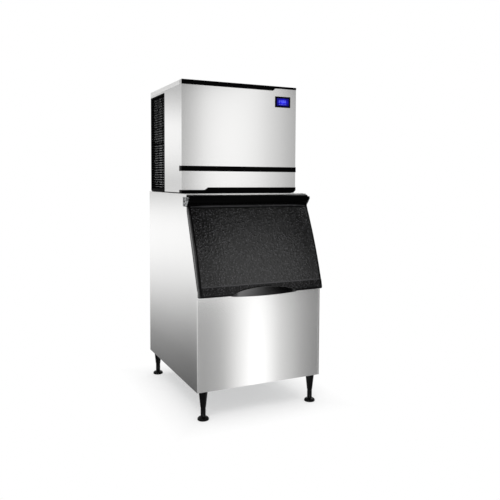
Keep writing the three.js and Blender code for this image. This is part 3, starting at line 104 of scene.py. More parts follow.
class Tree:
    """Short names for building a node tree."""

    def __init__(self, tree):
        self.tree = tree
        tree.nodes.clear()

    def add(self, kind, **settings):
        node = self.tree.nodes.new(kind)
        for name, value in settings.items():
            setattr(node, name, value)
        return node

    def link(self, out, into):
        self.tree.links.new(out, into)

    def put(self, socket, value):
        if isinstance(value, bpy.types.NodeSocket):
            self.link(value, socket)
        elif isinstance(value, tuple) and len(value) == 3 and len(socket.default_value) == 4:
            socket.default_value = (*value, 1)
        else:
            socket.default_value = value

    def coords(self, scale=(1, 1, 1)):
        source = self.add("ShaderNodeTexCoord")
        mapping = self.add("ShaderNodeMapping")
        mapping.inputs["Scale"].default_value = scale
        self.link(source.outputs["Object"], mapping.inputs["Vector"])
        return mapping.outputs["Vector"]

    def axis(self, name):
        split = self.add("ShaderNodeSeparateXYZ")
        self.link(self.coords(), split.inputs[0])
        return split.outputs[name]

    def noise(self, scale, stretch=(1, 1, 1), detail=4.0, rough=0.6):
        node = self.add("ShaderNodeTexNoise")
        node.inputs["Scale"].default_value = scale
        node.inputs["Detail"].default_value = detail
        node.inputs["Roughness"].default_value = rough
        self.link(self.coords(stretch), node.inputs["Vector"])
        return node.outputs["Fac"]

    def voronoi(self, scale, stretch=(1, 1, 1), feature="F1", out="Distance", jitter=1.0):
        node = self.add("ShaderNodeTexVoronoi", feature=feature)
        node.inputs["Scale"].default_value = scale
        node.inputs["Randomness"].default_value = jitter
        self.link(self.coords(stretch), node.inputs["Vector"])
        return node.outputs[out]

    def math(self, kind, a, b=0.0, c=0.0):
        node = self.add("ShaderNodeMath", operation=kind)
        for socket, value in zip(node.inputs, (a, b, c)):
            self.put(socket, value)
        return node.outputs[0]

    def span(self, value, a, b, lo=0.0, hi=1.0):
        """value taken from the range a..b to lo..hi, and held at the ends."""
        node = self.add("ShaderNodeMapRange", clamp=True)
        for name, number in (("From Min", a), ("From Max", b), ("To Min", lo), ("To Max", hi)):
            node.inputs[name].default_value = number
        self.put(node.inputs["Value"], value)
        return node.outputs["Result"]

    def ramp(self, value, stops, mode="LINEAR"):
        node = self.add("ShaderNodeValToRGB")
        node.color_ramp.interpolation = mode
        items = node.color_ramp.elements
        while len(items) < len(stops):
            items.new(0.5)
        for item, (place, colour) in zip(items, stops):
            item.position = place
            item.color = (*colour, 1)
        self.put(node.inputs[0], value)
        return node.outputs["Color"]

    def tint(self, value, colour):
        """The colour, darkened to the given value."""
        return self.ramp(value, [(0, (0, 0, 0)), (1, colour)])

    def mix(self, share, a, b):
        node = self.add("ShaderNodeMix", data_type="RGBA")
        for socket, value in ((node.inputs[0], share), (node.inputs[6], a), (node.inputs[7], b)):
            self.put(socket, value)
        return node.outputs[2]

    def bump(self, height, strength, distance, normal=None):
        node = self.add("ShaderNodeBump")
        node.inputs["Strength"].default_value = strength
        node.inputs["Distance"].default_value = distance
        self.link(height, node.inputs["Height"])
        if normal:
            self.link(normal, node.inputs["Normal"])
        return node.outputs["Normal"]

    def seen(self):
        """1 for what the camera, metal and glass see, and 0 for the light on the object."""
        path = self.add("ShaderNodeLightPath")
        either = self.math("MAXIMUM", path.outputs["Is Camera Ray"], path.outputs["Is Glossy Ray"])
        return self.math("MAXIMUM", either, path.outputs["Is Transmission Ray"])


def new_tree(name):
    material = bpy.data.materials.new(name)
    material.use_nodes = True
    return material, Tree(material.node_tree)


def surface(name, colour, rough, metal=0.0, **fixed):
    """A material with one Principled shader; each value is plain or a function that builds it."""
    material, tree = new_tree(name)
    shader = tree.add("ShaderNodeBsdfPrincipled")
    output = tree.add("ShaderNodeOutputMaterial")
    tree.link(shader.outputs[0], output.inputs[0])
    shader.inputs["Metallic"].default_value = metal
    sockets = {"Base Color": colour, "Roughness": rough}
    sockets.update({socket.replace("_", " "): value for socket, value in fixed.items()})
    for socket, value in sockets.items():
        tree.put(shader.inputs[socket], value(tree) if callable(value) else value)
    return material


# Sheet metal

STEEL_LEVEL, STEEL_TINT = 0.81, (1, 0.997, 0.99)
SCRATCH_TONE, CLOUD_TONE = 0.010, 0.008


def brushed(name, stretch, tangent, rough=0.13):
    """Satin stainless sheet: long fine scratches one way, with faint cloudy streaks."""

    def scratches(t):
        return t.noise(1.0, stretch, detail=5)

    def colour(t):
        fine = t.span(scratches(t), 0.3, 0.7, -SCRATCH_TONE, SCRATCH_TONE)
        cloud = t.span(t.noise(2.2, detail=2), 0.3, 0.7, -CLOUD_TONE, CLOUD_TONE)
        return t.tint(t.math("ADD", t.math("ADD", fine, cloud), STEEL_LEVEL), STEEL_TINT)

    def roughness(t):
        return t.span(scratches(t), 0.25, 0.75, rough, rough + 0.04)

    def normal(t):
        return t.bump(scratches(t), 0.03, 0.0002)

    def direction(t):
        return t.add("ShaderNodeTangent", direction_type="RADIAL", axis=tangent).outputs[0]

    return surface(
        name,
        colour,
        roughness,
        1.0,
        Normal=normal,
        Tangent=direction,
        Anisotropic=0.8,
        Anisotropic_Rotation=0.25,
    )


ALONG, ACROSS = 4, 1100  # scratches in a metre along and across the brushing
steel_wall = brushed("brushed_stainless", (ALONG, ALONG, ACROSS), "Z")
steel_flat = brushed("brushed_stainless_flat", (ALONG, ACROSS, ACROSS), "Y", 0.40)
steel_deck = brushed("brushed_stainless_deck", (ALONG, ACROSS, ACROSS), "Y")

CRYSTALS = 110  # zinc crystals in a metre


def zinc(name, level, contrast):
    """Zinc plate with its pattern of crystals, each one a little lighter or darker."""

    def colour(t):
        split = t.add("ShaderNodeSeparateColor")
        t.link(t.voronoi(CRYSTALS, out="Color"), split.inputs[0])
        tone = t.span(split.outputs[0], 0, 1, -contrast, contrast)
        cloud = t.span(t.noise(45, detail=4), 0.35, 0.65, -contrast, contrast)
        value = t.math("ADD", t.math("ADD", tone, cloud), level)
        return t.tint(value, (0.97, 0.99, 1.0))

    return surface(
        name,
        colour,
        lambda t: t.span(t.noise(60, detail=3), 0.3, 0.7, 0.32, 0.55),
        1.0,
        Normal=lambda t: t.bump(t.noise(180, detail=3), 0.2, 0.0004),
    )


galvanised = zinc("galvanised_sheet", 0.60, 0.06)
bracket_zinc = zinc("bracket_zinc", 0.21, 0.20)


# Plastic, rubber and paint


def moulded(name, colour, low, high, grain=1200, depth=0.00008, metal=0.0, drift=0.15, **fixed):
    """Moulded plastic, paint or rubber: a faint tone drift, broken gloss and a fine texture."""
    lighter = tuple(min(1, c * (1 + drift)) for c in colour)
    darker = tuple(c * (1 - drift) for c in colour)
    return surface(
        name,
        lambda t: t.mix(t.span(t.noise(14, detail=5), 0.32, 0.68), darker, lighter),
        lambda t: t.span(t.noise(grain / 12, detail=4), 0.3, 0.7, low, high),
        metal,
        Normal=lambda t: t.bump(t.noise(grain, detail=2), 0.25, depth),
        **fixed,
    )


def dark(level):
    """A near-black grey, a little bluish."""
    return (level, level, level * 1.06)


black_trim = moulded("black_trim", dark(0.001), 0.20, 0.32, Specular_IOR_Level=0.015)
black_plastic = moulded("black_plastic", dark(0.003), 0.42, 0.55, Specular_IOR_Level=0.16)
grille_plastic = moulded("grille_plastic", dark(0.001), 0.45, 0.60, Specular_IOR_Level=0.008)
black_rubber = moulded("black_rubber", dark(0.004), 0.70, 0.88, 700, 0.0002, Specular_IOR_Level=0.10)
black_paint = moulded("black_paint", dark(0.002), 0.10, 0.20, 500, 0.00006, Specular_IOR_Level=0.10)
white_plastic = moulded("white_plastic", (0.76, 0.78, 0.78), 0.34, 0.50, drift=0.02)
filter_frame = moulded("filter_frame", dark(0.002), 0.70, 0.85, Specular_IOR_Level=0.05)
copper = moulded("drawn_copper", (0.72, 0.36, 0.20), 0.22, 0.42, grain=300, metal=1.0)
nickel = moulded("nickel_plate", (0.66, 0.63, 0.57), 0.16, 0.30, grain=400, metal=1.0)

FOAM_CELLS = 420  # cells in a metre
foam = surface(
    "rigid_foam",
    lambda t: t.mix(t.voronoi(FOAM_CELLS), (0.80, 0.70, 0.38), (0.62, 0.53, 0.28)),
    lambda t: t.span(t.noise(90), 0.3, 0.7, 0.85, 0.98),
    Normal=lambda t: t.bump(t.voronoi(FOAM_CELLS), 0.6, 0.0008),
)

PEBBLE = 105  # pebbles in a metre of the door's grain


def pebbles(t):
    """Rounded leather-like pebbles, 0 in the valleys and 1 on the tops."""
    return t.span(t.voronoi(PEBBLE, feature="SMOOTH_F1", jitter=0.95), 0.0, 0.6, 1.0, 0.0)


def grain_and_painted_glints(t):
    """Black in the valleys, and a dark grey on some of the tops: grain, and a painted highlight where light
    would catch the pebbles.
    """
    speck = t.span(t.noise(PEBBLE * 1.3, detail=2), 0.45, 0.58)
    return t.mix(t.math("MULTIPLY", pebbles(t), speck), dark(0.0002), dark(0.050))


def grain_gloss(t):
    """Smooth shining specks among rougher ground."""
    speck = t.span(t.noise(PEBBLE * 1.7, detail=1), 0.42, 0.60)
    return t.span(t.math("MULTIPLY", pebbles(t), speck), 0.0, 0.5, 0.27, 0.11)


def grain_normal(t):
    """Pebbles with a finer texture on them."""
    fine = t.bump(t.noise(PEBBLE * 6, detail=2), 0.3, 0.0003)
    return t.bump(pebbles(t), 0.45, 0.0020, fine)


def grain(name, gloss):
    return surface(name, grain_and_painted_glints, grain_gloss, Normal=grain_normal, Specular_IOR_Level=gloss)


door_grain = grain("door_grain", 0.62)
band_grain = grain("door_band_grain", 0.25)
door_smooth = moulded("door_smooth", dark(0.002), 0.16, 0.26, 900, 0.00004, Specular_IOR_Level=0.10)
door_side = moulded("door_side", dark(0.004), 0.20, 0.30, 900, 0.00006, Specular_IOR_Level=0.55)
# painted highlight: a lighter grey than the door's black, for the crease line and the band along the door's
# top where light catches them
painted_highlight_edge = moulded("painted_highlight_edge", dark(0.032), 0.18, 0.30, 300, 0.00010, Specular_IOR_Level=0.50)
handle_gloss = moulded("handle_gloss", dark(0.001), 0.10, 0.14, 900, 0.00003, Specular_IOR_Level=1.0)


# Display


def screen_colour(t):
    """Blue that is brightest in the middle of the glass and falls away to its edges."""
    (x0, _, z0), (x1, _, z1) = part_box("display_screen")
    across = t.span(t.axis("X"), x0, x1, -1, 1)
    upward = t.span(t.axis("Z"), z0, z1, -1, 1)
    off = t.math("SQRT", t.math("ADD", t.math("POWER", across, 2), t.math("POWER", upward, 2)))
    return t.ramp(off, [(0.0, (0.05, 0.05, 1.0)), (0.45, (0.012, 0.010, 0.62)), (1.0, (0.002, 0.001, 0.16))])


screen_glass = surface(
    "display_glass",
    screen_colour,
    lambda t: t.span(t.noise(30), 0.3, 0.7, 0.08, 0.14),
    Emission_Color=screen_colour,
    Emission_Strength=0.2,
    Specular_IOR_Level=0.1,
)
lit_segment = moulded(
    "lit_segment", (0.16, 0.20, 0.80), 0.3, 0.4, Emission_Color=(0.2, 0.25, 1.0), Emission_Strength=0.15
)

by_slot = {
    "stainless": steel_wall,
    "galvanised": galvanised,
    "black_plastic": black_plastic,
    "black_trim": black_trim,
    "rubber": black_rubber,
    "white_plastic": white_plastic,
    "foam": foam,
    "screen": screen_glass,
    "copper": copper,
    "nickel": nickel,
    "black_steel": black_paint,
    "filter_mesh": filter_frame,
}
by_node = {
    "head_top_cover": steel_flat,
    "bin_deck": steel_deck,
    "intake_grille": grille_plastic,
    "hinge_bracket_left": bracket_zinc,
    "hinge_bracket_right": bracket_zinc,
}


def dress_frame():
    """Gives every CAD node its finish, by its name or else by its slot."""
    for part in frame["record"]["subparts"]:
        mesh = nodes[part["node"]].data
        mesh.materials.clear()
        mesh.materials.append(by_node.get(part["node"], by_slot[part["material_slot"]]))


dress_frame()


# Edges of the sheet metal and trims

EDGE, DECK_EDGE = 0.6, 5
EDGE_ANGLE = 35  # degrees between two faces that count as an edge
SOFT_EDGES = (
    "bin_side_panel_left bin_side_panel_right bin_front_panel head_side_panel_left "
    "head_side_panel_right head_top_cover trim_strip_top trim_strip_middle trim_strip_bottom "
    "display_bezel display_screen hinge_bracket_left hinge_bracket_right"
)


def soften(node, width, segments):
    bevel = nodes[node].modifiers.new("edges", "BEVEL")
    bevel.width = width * MM
    bevel.segments = segments
    bevel.limit_method = "ANGLE"
    bevel.angle_limit = math.radians(EDGE_ANGLE)
    bevel.harden_normals = False


for name in SOFT_EDGES.split():
    soften(name, EDGE, 2)
soften("bin_deck", DECK_EDGE, 4)


# Making pieces

WELD, SLIVER = 0.01, 0.005  # millimetres: nearer points are joined, shorter edges taken out


def add_piece(name, mesh, body):
    """A new object that rides a body."""
    piece = bpy.data.objects.new(name, mesh)
    bpy.context.scene.collection.objects.link(piece)
    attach(piece, body)
    return piece


def make(name, body, verts, faces, material, angle=40):
    """A mesh object that rides a body, from points in millimetres as x, depth, height."""
    mesh = bpy.data.meshes.new(name)
    mesh.from_pydata([at(*v) for v in verts], [], faces)
    made = bmesh.new()
    made.from_mesh(mesh)
    bmesh.ops.remove_doubles(made, verts=made.verts, dist=WELD * MM)
    bmesh.ops.dissolve_degenerate(made, edges=made.edges, dist=SLIVER * MM)
    bmesh.ops.recalc_face_normals(made, faces=made.faces)
    made.to_mesh(mesh)
    made.free()
    for item in material if isinstance(material, list) else [material]:
        mesh.materials.append(item)
    mesh.shade_smooth()
    mesh.set_sharp_from_angle(angle=math.radians(angle))
    return add_piece(name, mesh, body)


def evenly(low, high, count):
    """The ends of count equal steps from low to high."""
    return [low + (high - low) * i / count for i in range(count + 1)]


def skin(rows, closed=False):
    """Points and quads of a sheet given as rows of points; a closed one joins each row's ends."""
    width = len(rows[0])
    verts = [point for row in rows for point in row]
    faces = []
    for j in range(len(rows) - 1):
        for i in range(width if closed else width - 1):
            a, b = j * width + i, j * width + (i + 1) % width
            faces.append((a, b, b + width, a + width))
    return verts, faces


def capped(rows):
    """A closed skin with its first and last row filled."""
    verts, faces = skin(rows, closed=True)
    width = len(rows[0])
    faces.append(tuple(range(width)))
    faces.append(tuple(range(len(verts) - width, len(verts))))
    return verts, faces


def shifted(faces, verts):
    """Faces renumbered to follow the points that are there already."""
    return [tuple(i + len(verts) for i in face) for face in faces]


def rounded(corners, steps=8):
    """An outline of (u, v, radius) corners with curved corners, as points; no radius is sharp."""
    points = []
    count = len(corners)
    for i, (u, v, *rest) in enumerate(corners):
        if not rest:
            points.append((u, v))
            continue
        corner = Vector((u, v))
        before = (Vector(corners[i - 1][:2]) - corner).normalized() * rest[0] + corner
        after = (Vector(corners[(i + 1) % count][:2]) - corner).normalized() * rest[0] + corner
        for t in evenly(0, 1, steps):
            place = before * (1 - t) ** 2 + corner * 2 * t * (1 - t) + after * t**2
            points.append((place.x, place.y))
    return points


def arc_drop(radius, into):
    """How far a round edge of that radius falls back at a distance before its end."""
    over = max(0.0, radius - into)
    return radius - math.sqrt(max(0.0, radius**2 - over**2))


# Door: its heights are measured from the foot of the bin's casing, at the top of the legs

LEG = span_of("bin_front_panel")[0][2]
BIN_DEPTH = span_of("bin_front_panel")[1][1]
SILL, MOUTH_TOP, MOUTH_SETBACK = 556, 966, 164
DOOR_HALF = span_of("door_shell")[1][0]
DOOR_TOP, DOOR_BOTTOM, DOOR_GAP = 1003, 517, 4
NECK_REACH, TOE_REACH, CROWN = 16, 45, 18
TOE_RADIUS, TOP_RADIUS, SIDE_ROUND, SIDE_SHARE = 13, 7, 10, 0.7
FALL_WIDTH, SIDE_FALL = 170, 9
CREASE, CREASE_STEP, CREASE_RUN, CREASE_WIDTH = 570, 2.5, 1.5, 5.5
HANDLE_HALF, HANDLE_HEIGHT, HANDLE_DROP = 200, 44, 7
HANDLE_LIP, HANDLE_LEAN, HANDLE_SHOULDER = 957.3, 3, 0.94
HANDLE_FULLNESS, HANDLE_RELIEF, HANDLE_TIP = 0.6, 0.16, 0.08
GRAIN_BORDER, GRAIN_TOP, GRAIN_DEPTH, GRAIN_STEP = 16, 984, 0.8, 0.4
HIGHLIGHT_LINE_GAP = 6  # from the top of the grain to the painted highlight line over it
DOOR_SKIN = 3.5


def door_back(h):
    """Depth of the door's back, which follows the sloped mouth of the bin at a small gap."""
    on_slope = min(max(h, SILL), MOUTH_TOP)
    return BIN_DEPTH - MOUTH_SETBACK * (on_slope - SILL) / (MOUTH_TOP - SILL) + DOOR_GAP


def door_front(h):
    """Depth of the door's front in its middle: a shallow arc, stepped back above the crease."""
    share = (DOOR_TOP - h) / (DOOR_TOP - DOOR_BOTTOM)
    neck = BIN_DEPTH - MOUTH_SETBACK + NECK_REACH
    chord = neck + (BIN_DEPTH + TOE_REACH - neck) * share
    crown = 4 * CROWN * share * (1 - share)
    edges = arc_drop(TOE_RADIUS, h - DOOR_BOTTOM) + arc_drop(TOP_RADIUS, DOOR_TOP - h)
    return chord + crown - edges - CREASE_STEP * min(1, max(0, (h - CREASE) / CREASE_RUN))


def along_handle(x):
    """1 in the handle's middle and 0 at its ends."""
    return max(0.0, 1 - (x / HANDLE_HALF) ** 2)


def handle_top(x):
    """Height of the handle's upper outline, which is fuller than a parabola towards its ends."""
    return DOOR_BOTTOM + HANDLE_HEIGHT * along_handle(x) ** HANDLE_FULLNESS


def in_grain(x, h):
    """True where the door's face is grained, inside its smooth border."""
    lowest = max(DOOR_BOTTOM + TOE_RADIUS, handle_top(x))
    return abs(x) < DOOR_HALF - GRAIN_BORDER and lowest < h < GRAIN_TOP


def door_point(x, h):
    """A point of the door's front, which falls back and rounds off towards its sides."""
    back = door_back(h)
    into = max(0, abs(x) - (DOOR_HALF - SIDE_ROUND)) / SIDE_ROUND
    share = SIDE_SHARE + (1 - SIDE_SHARE) * math.sqrt(max(0, 1 - into * into))
    beside = max(0, abs(x) - (DOOR_HALF - FALL_WIDTH)) / FALL_WIDTH
    front = back + (door_front(h) - SIDE_FALL * beside**2 - back) * share
    return (x, front - (GRAIN_DEPTH if in_grain(x, h) and h > CREASE else 0), LEG + h)


def handle_point(x, rise, inward):
    """The handle: a lens-shaped pull that stands out over the bottom edge of the door.

    rise goes from 0 at its sagging lip to 1 at its upper outline, and inward from 0 on its
    face to 1 where its rounded top meets the door.
    """
    along = along_handle(x)
    if not along:
        return door_point(x, DOOR_BOTTOM)
    height = (handle_top(x) - DOOR_BOTTOM) * rise - HANDLE_DROP * along * (1 - rise)
    front = door_front(DOOR_BOTTOM + height) + arc_drop(TOE_RADIUS, height) * min(1, along / HANDLE_TIP)
    face = front + (HANDLE_LIP - HANDLE_LEAN * rise - front) * along**HANDLE_RELIEF
    depth = face + (door_front(handle_top(x)) - face) * inward
    return (x, depth, LEG + DOOR_BOTTOM + height)


def door_rows():
    """Rows of the door's front from the bottom up, each one a function from x to a point."""
    rows = [lambda x, s=s: handle_point(x, s, 0) for s in evenly(0, HANDLE_SHOULDER, 8)]
    for a in evenly(0, math.pi / 2, 6)[1:]:
        share = HANDLE_SHOULDER + (1 - HANDLE_SHOULDER) * math.sin(a)
        rows.append(lambda x, s=share, a=a: handle_point(x, s, 1 - math.cos(a)))
    toe = [TOE_RADIUS * (1 - math.cos(a)) / (CREASE - DOOR_BOTTOM) for a in evenly(0, math.pi / 2, 6)]
    for s in toe + evenly(toe[-1], 1, 6)[1:]:
        rows.append(lambda x, s=s: door_point(x, handle_top(x) * (1 - s) + CREASE * s))
    top = [DOOR_TOP - TOP_RADIUS * (1 - math.cos(a)) for a in evenly(math.pi / 2, 0, 5)]
    rise = evenly(CREASE + 8, GRAIN_TOP - HIGHLIGHT_LINE_GAP, 40)
    border = [GRAIN_TOP - GRAIN_STEP, GRAIN_TOP + GRAIN_STEP, GRAIN_TOP + HIGHLIGHT_LINE_GAP]
    for h in [CREASE + CREASE_RUN, CREASE + CREASE_WIDTH] + rise + border + top:
        rows.append(lambda x, h=h: door_point(x, h))
    return rows


def door_stations():
    """The places across the door where each row has a point."""
    edge = [DOOR_HALF - SIDE_ROUND * (1 - math.sin(a)) for a in evenly(0, math.pi / 2, 8)]
    border = DOOR_HALF - GRAIN_BORDER
    handle = [HANDLE_HALF * math.sin(a) for a in evenly(0, math.pi / 2, 32)]
    beside = evenly(HANDLE_HALF, border - GRAIN_STEP, 10)
    half = handle[1:] + beside[1:] + [border + GRAIN_STEP] + edge
    return [-x for x in reversed(half)] + [0] + half


DOOR_FINISHES = [door_smooth, door_grain, handle_gloss, door_side, painted_highlight_edge, band_grain]


def door_finish(face):
    """The finish of one face of the door's front."""
    x, h = face.center.x / MM, face.center.z / MM - LEG
    inside = abs(x) < DOOR_HALF - GRAIN_BORDER
    if abs(face.normal.x) > 0.5:
        return door_side
    if h < handle_top(x) - 0.5:
        return handle_gloss
    # the crease line and the band over the grain get the lighter finish, a painted highlight
    if inside and (CREASE < h < CREASE + CREASE_WIDTH or h > GRAIN_TOP + HIGHLIGHT_LINE_GAP):
        return painted_highlight_edge
    if not in_grain(x, h):
        return door_smooth
    return door_grain if h > CREASE else band_grain


def door_panel():
    """The black moulded front with its handle, and the rim round its back."""
    xs = door_stations()
    grid = [[row(x) for x in xs] for row in door_rows()]
    verts, faces = skin(grid)
    loop = grid[0] + [row[-1] for row in grid[1:-1]] + grid[-1][::-1] + [row[0] for row in grid[-2:0:-1]]
    heights = [max(z - LEG, DOOR_BOTTOM) for _, _, z in loop]
    inner_half = DOOR_HALF - DOOR_SKIN
    inner = [
        (min(max(x, -inner_half), inner_half), min(max(h, DOOR_BOTTOM + DOOR_SKIN), MOUTH_TOP))
        for (x, _, _), h in zip(loop, heights)
    ]
    rim, rim_faces = skin(
        [
            loop,
            [(x, door_back(h), LEG + h) for (x, _, _), h in zip(loop, heights)],
            [(x, door_back(h), LEG + h) for x, h in inner],
            [(x, door_back(h) + DOOR_SKIN, LEG + h) for x, h in inner],
        ],
        closed=True,
    )
    faces += shifted(rim_faces, verts)
    piece = make("door_panel", "door", verts + rim, faces, DOOR_FINISHES, 30)
    for face in piece.data.polygons:
        face.material_index = DOOR_FINISHES.index(door_finish(face))
    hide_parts("door_shell")


LINER_HALF, LINER_LOW, LINER_TOP, LINER_CLEAR = DOOR_HALF - 4, 521, 965, 6
DISH_DEPTH, DISH_EDGE, DISH_SLOPE = 10, 46, 14


def dish(x, h):
    """How deep the liner is pressed in, from 0 along its border to the flat middle."""
    off = min(LINER_HALF - abs(x), h - LINER_LOW, LINER_TOP - h) - DISH_EDGE
    share = min(1, max(0, off / DISH_SLOPE))
    return DISH_DEPTH * share * share * (3 - 2 * share)


def dish_stations(low, high):
    """The places where the dish needs points: its border, its slopes and its middle."""
    slope = evenly(DISH_EDGE, DISH_EDGE + DISH_SLOPE, 6)
    rise = [low] + [low + s for s in slope]
    fall = [high - s for s in reversed(slope)] + [high]
    return rise + evenly(rise[-1], fall[0], 12)[1:-1] + fall


def door_liner():
    """The white inside of the door: a slab that stays clear of the black front."""
    xs = dish_stations(-LINER_HALF, LINER_HALF)
    hs = dish_stations(LINER_LOW, LINER_TOP)
    back = [[(x, door_back(h) + dish(x, h), LEG + h) for x in xs] for h in hs]
    front = [[(x, door_point(x, h)[1] - LINER_CLEAR, LEG + h) for x in xs] for h in hs]
    verts, faces = [], []
    ends = [skin([back[k], front[k]]) for k in (0, -1)]
    flanks = [skin([[row[k] for row in back], [row[k] for row in front]]) for k in (0, -1)]
    for points, quads in [skin(back), skin(front)] + ends + flanks:
        faces += shifted(quads, verts)
        verts += points
    piece = make("door_inner_panel", "door", verts, faces, white_plastic, 30)
    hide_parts("door_liner")


RAIL_LEVEL, RAIL_HALF_HEIGHT, RAIL_END = 1033, 24, 374
RAIL_BACK, RAIL_NOSE = 708, 775
RAIL_CORNERS = {"back": 12, "nose": 24, "chin": 15}
RAIL_END_ROUND, RAIL_END_TAPER = 2, 0.06


def door_rail():
    """The bull-nosed bar along the top of the door, which turns about its middle."""
    low, high = RAIL_LEVEL - RAIL_HALF_HEIGHT, RAIL_LEVEL + RAIL_HALF_HEIGHT
    outline = rounded(
        [
            (RAIL_BACK, low, RAIL_CORNERS["back"]),
            (RAIL_NOSE, low, RAIL_CORNERS["chin"]),
            (RAIL_NOSE, high, RAIL_CORNERS["nose"]),
            (RAIL_BACK, high, RAIL_CORNERS["back"]),
        ],
        12,
    )
    middle = (RAIL_BACK + RAIL_NOSE) / 2
    rounds = [
        (RAIL_END - RAIL_END_ROUND * (1 - math.cos(a)), 1 - RAIL_END_TAPER * (1 - math.sin(a)))
        for a in evenly(0, math.pi / 2, 4)
    ]
    rows = []
    for side in (-1, 1):
        for x, share in rounds if side < 0 else reversed(rounds):
            rows.append(
                [
                    (side * x, middle + (d - middle) * share, LEG + RAIL_LEVEL + (h - RAIL_LEVEL) * share)
                    for d, h in outline
                ]
            )
    verts, faces = capped(rows)
    piece = make("door_rail", "door", verts, faces, black_trim, 35)
    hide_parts("door_shell")


NECK_LOW, NECK_HIGH, NECK_THICK, NECK_CLEAR = 995, 1012, 8.7, 0.3


def door_neck():
    """The web that joins the panel to the rail."""
    back = door_back(DOOR_TOP) + NECK_CLEAR
    front = back + NECK_THICK
    outline = [(back, NECK_LOW), (front, NECK_LOW), (front, NECK_HIGH), (back, NECK_HIGH)]
    rows = [[(x, d, LEG + h) for d, h in outline] for x in (-RAIL_END, RAIL_END)]
    verts, faces = capped(rows)
    piece = make("door_neck", "door", verts, faces, black_trim)
    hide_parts("door_shell")


door_panel()
door_liner()
door_rail()
door_neck()


# Legs and feet

LEG_TOP, LEG_TIP, LEG_FLANGE, TIP_LEVEL = 24.5, 15.5, 6, 70
LEG_INNER, BORE_CLEAR, BORE_SHOWN, LEG_CLEAR = 6, 0.6, 8, 0.3
PAD_RADIUS, PAD_HEIGHT, PAD_RIM, PAD_SOLE, PAD_ROUND = 32, 18, 3.8, 5, 3
DOME_SWEEP, DOME_GAP = 1.45, 2
NECK_RADIUS, STEM_RADIUS, STEM_TOP, STEM_TIP = 14, 8, 132, 1
SOFT_CORNER = 1.2


def lathe(name, body, profile, node, material, sides=48):
    """A piece turned about the middle of the node that it replaces; profile is (radius, height)."""
    (x0, d0, _), (x1, d1, _) = span_of(node)
    x, depth = (x0 + x1) / 2, (d0 + d1) / 2
    angles = [2 * math.pi * k / sides for k in range(sides)]
    rows = [[(x + r * math.cos(a), depth + r * math.sin(a), z) for a in angles] for r, z in profile]
    verts, faces = capped(rows)
    piece = make(name, body, verts, faces, material, 50)
    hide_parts(node)


def leg_profile():
    """Half of the tapered sleeve, from its bore round its outside to its flat top."""
    top = LEG - LEG_CLEAR
    bore = STEM_RADIUS + BORE_CLEAR
    return rounded(
        [
            (bore, TIP_LEVEL + BORE_SHOWN),
            (bore, TIP_LEVEL),
            (LEG_TIP, TIP_LEVEL, SOFT_CORNER),
            (LEG_TOP, top - LEG_FLANGE, 2.5),
            (LEG_TOP, top, 1),
            (LEG_INNER, top),
        ]
    )


def foot_profile():
    """Half of the foot: a round pad with a domed top, its neck and the stem in the sleeve."""
    rim = rounded([(PAD_RADIUS - PAD_SOLE, 0), (PAD_RADIUS, 0, PAD_ROUND), (PAD_RADIUS, PAD_RIM)])
    rise, reach = PAD_HEIGHT - PAD_RIM, PAD_RADIUS - NECK_RADIUS
    sweep = evenly(0, DOME_SWEEP, 12)
    dome = [(NECK_RADIUS + reach * math.cos(a), PAD_RIM + rise * math.sin(a)) for a in sweep]
    neck_top = TIP_LEVEL - LEG_CLEAR
    shoulder = rounded(
        [
            (NECK_RADIUS, PAD_HEIGHT + DOME_GAP),
            (NECK_RADIUS, neck_top, SOFT_CORNER),
            (STEM_RADIUS, neck_top),
        ]
    )
    stem = [(STEM_RADIUS, STEM_TOP - STEM_TIP), (STEM_RADIUS - STEM_TIP, STEM_TOP)]
    return rim + dome + shoulder + stem


for place in ("front_left", "front_right", "back_left", "back_right"):
    lathe(f"leg_sleeve_{place}", "cabinet", leg_profile(), f"leg_{place}", black_paint)
    lathe(f"foot_pad_{place}", f"foot_{place}", foot_profile(), f"foot_{place}", black_paint)


# Folded corners of the bin and of the head

HEM_WIDTH, HEM_PROUD, HEM_RADIUS, HEM_SHEET = 11, 0.8, 3.2, 1.2
HEM_OUT, HEM_BELOW, HEM_ABOVE = 0.5, 0.5, 1  # past the side, and short of the panel's ends


def bin_hem(side):
    """The folded edge that runs up the bin's front corner, beside the front panel."""
    low, high = span_of("bin_front_panel")
    x = side * (high[0] + HEM_OUT)
    inner = x - side * HEM_WIDTH
    inside = x - side * HEM_SHEET
    front = high[1] + HEM_PROUD
    outline = rounded(
        [
            (x, front - HEM_WIDTH, 0.4),
            (x, front, HEM_RADIUS),
            (inner, front, 0.7),
            (inner, front - HEM_SHEET),
            (inside, front - HEM_SHEET),
            (inside, front - HEM_WIDTH),
        ]
    )
    rows = [[(u, d, z) for u, d in outline] for z in (low[2] + HEM_BELOW, high[2] - HEM_ABOVE)]
    verts, faces = capped(rows)
    make(f"bin_hem_{'left' if side < 0 else 'right'}", "cabinet", verts, faces, steel_wall, 30)


bin_hem(-1)
bin_hem(1)

FOLD_RADIUS = 5


def fold_corners(node, name):
    """A copy of a sheet-metal node whose outer upright front corners are bent round."""
    low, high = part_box(node)
    mesh = nodes[node].data.copy()
    mesh.name = name
    made = bmesh.new()
    made.from_mesh(mesh)
    bmesh.ops.dissolve_limit(made, angle_limit=math.radians(1), verts=made.verts, edges=made.edges)
    tiny = 0.05 * MM

    def outer(vert):
        at_side = min(abs(vert.co.x - low[0]), abs(vert.co.x - high[0])) < tiny
        return at_side and abs(vert.co.y - low[1]) < tiny

    edges = [edge for edge in made.edges if all(outer(vert) for vert in edge.verts)]
    bmesh.ops.bevel(
        made,
        geom=edges,
        offset=FOLD_RADIUS * MM,
        segments=6,
        profile=0.5,
        affect="EDGES",
        clamp_overlap=False,
    )
    made.to_mesh(mesh)
    made.free()
    mesh.shade_smooth()
    mesh.set_sharp_from_angle(angle=math.radians(30))
    piece = add_piece(name, mesh, "cabinet")
    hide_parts(node)


fold_corners("head_front_panel", "head_front_tray")


# Screws

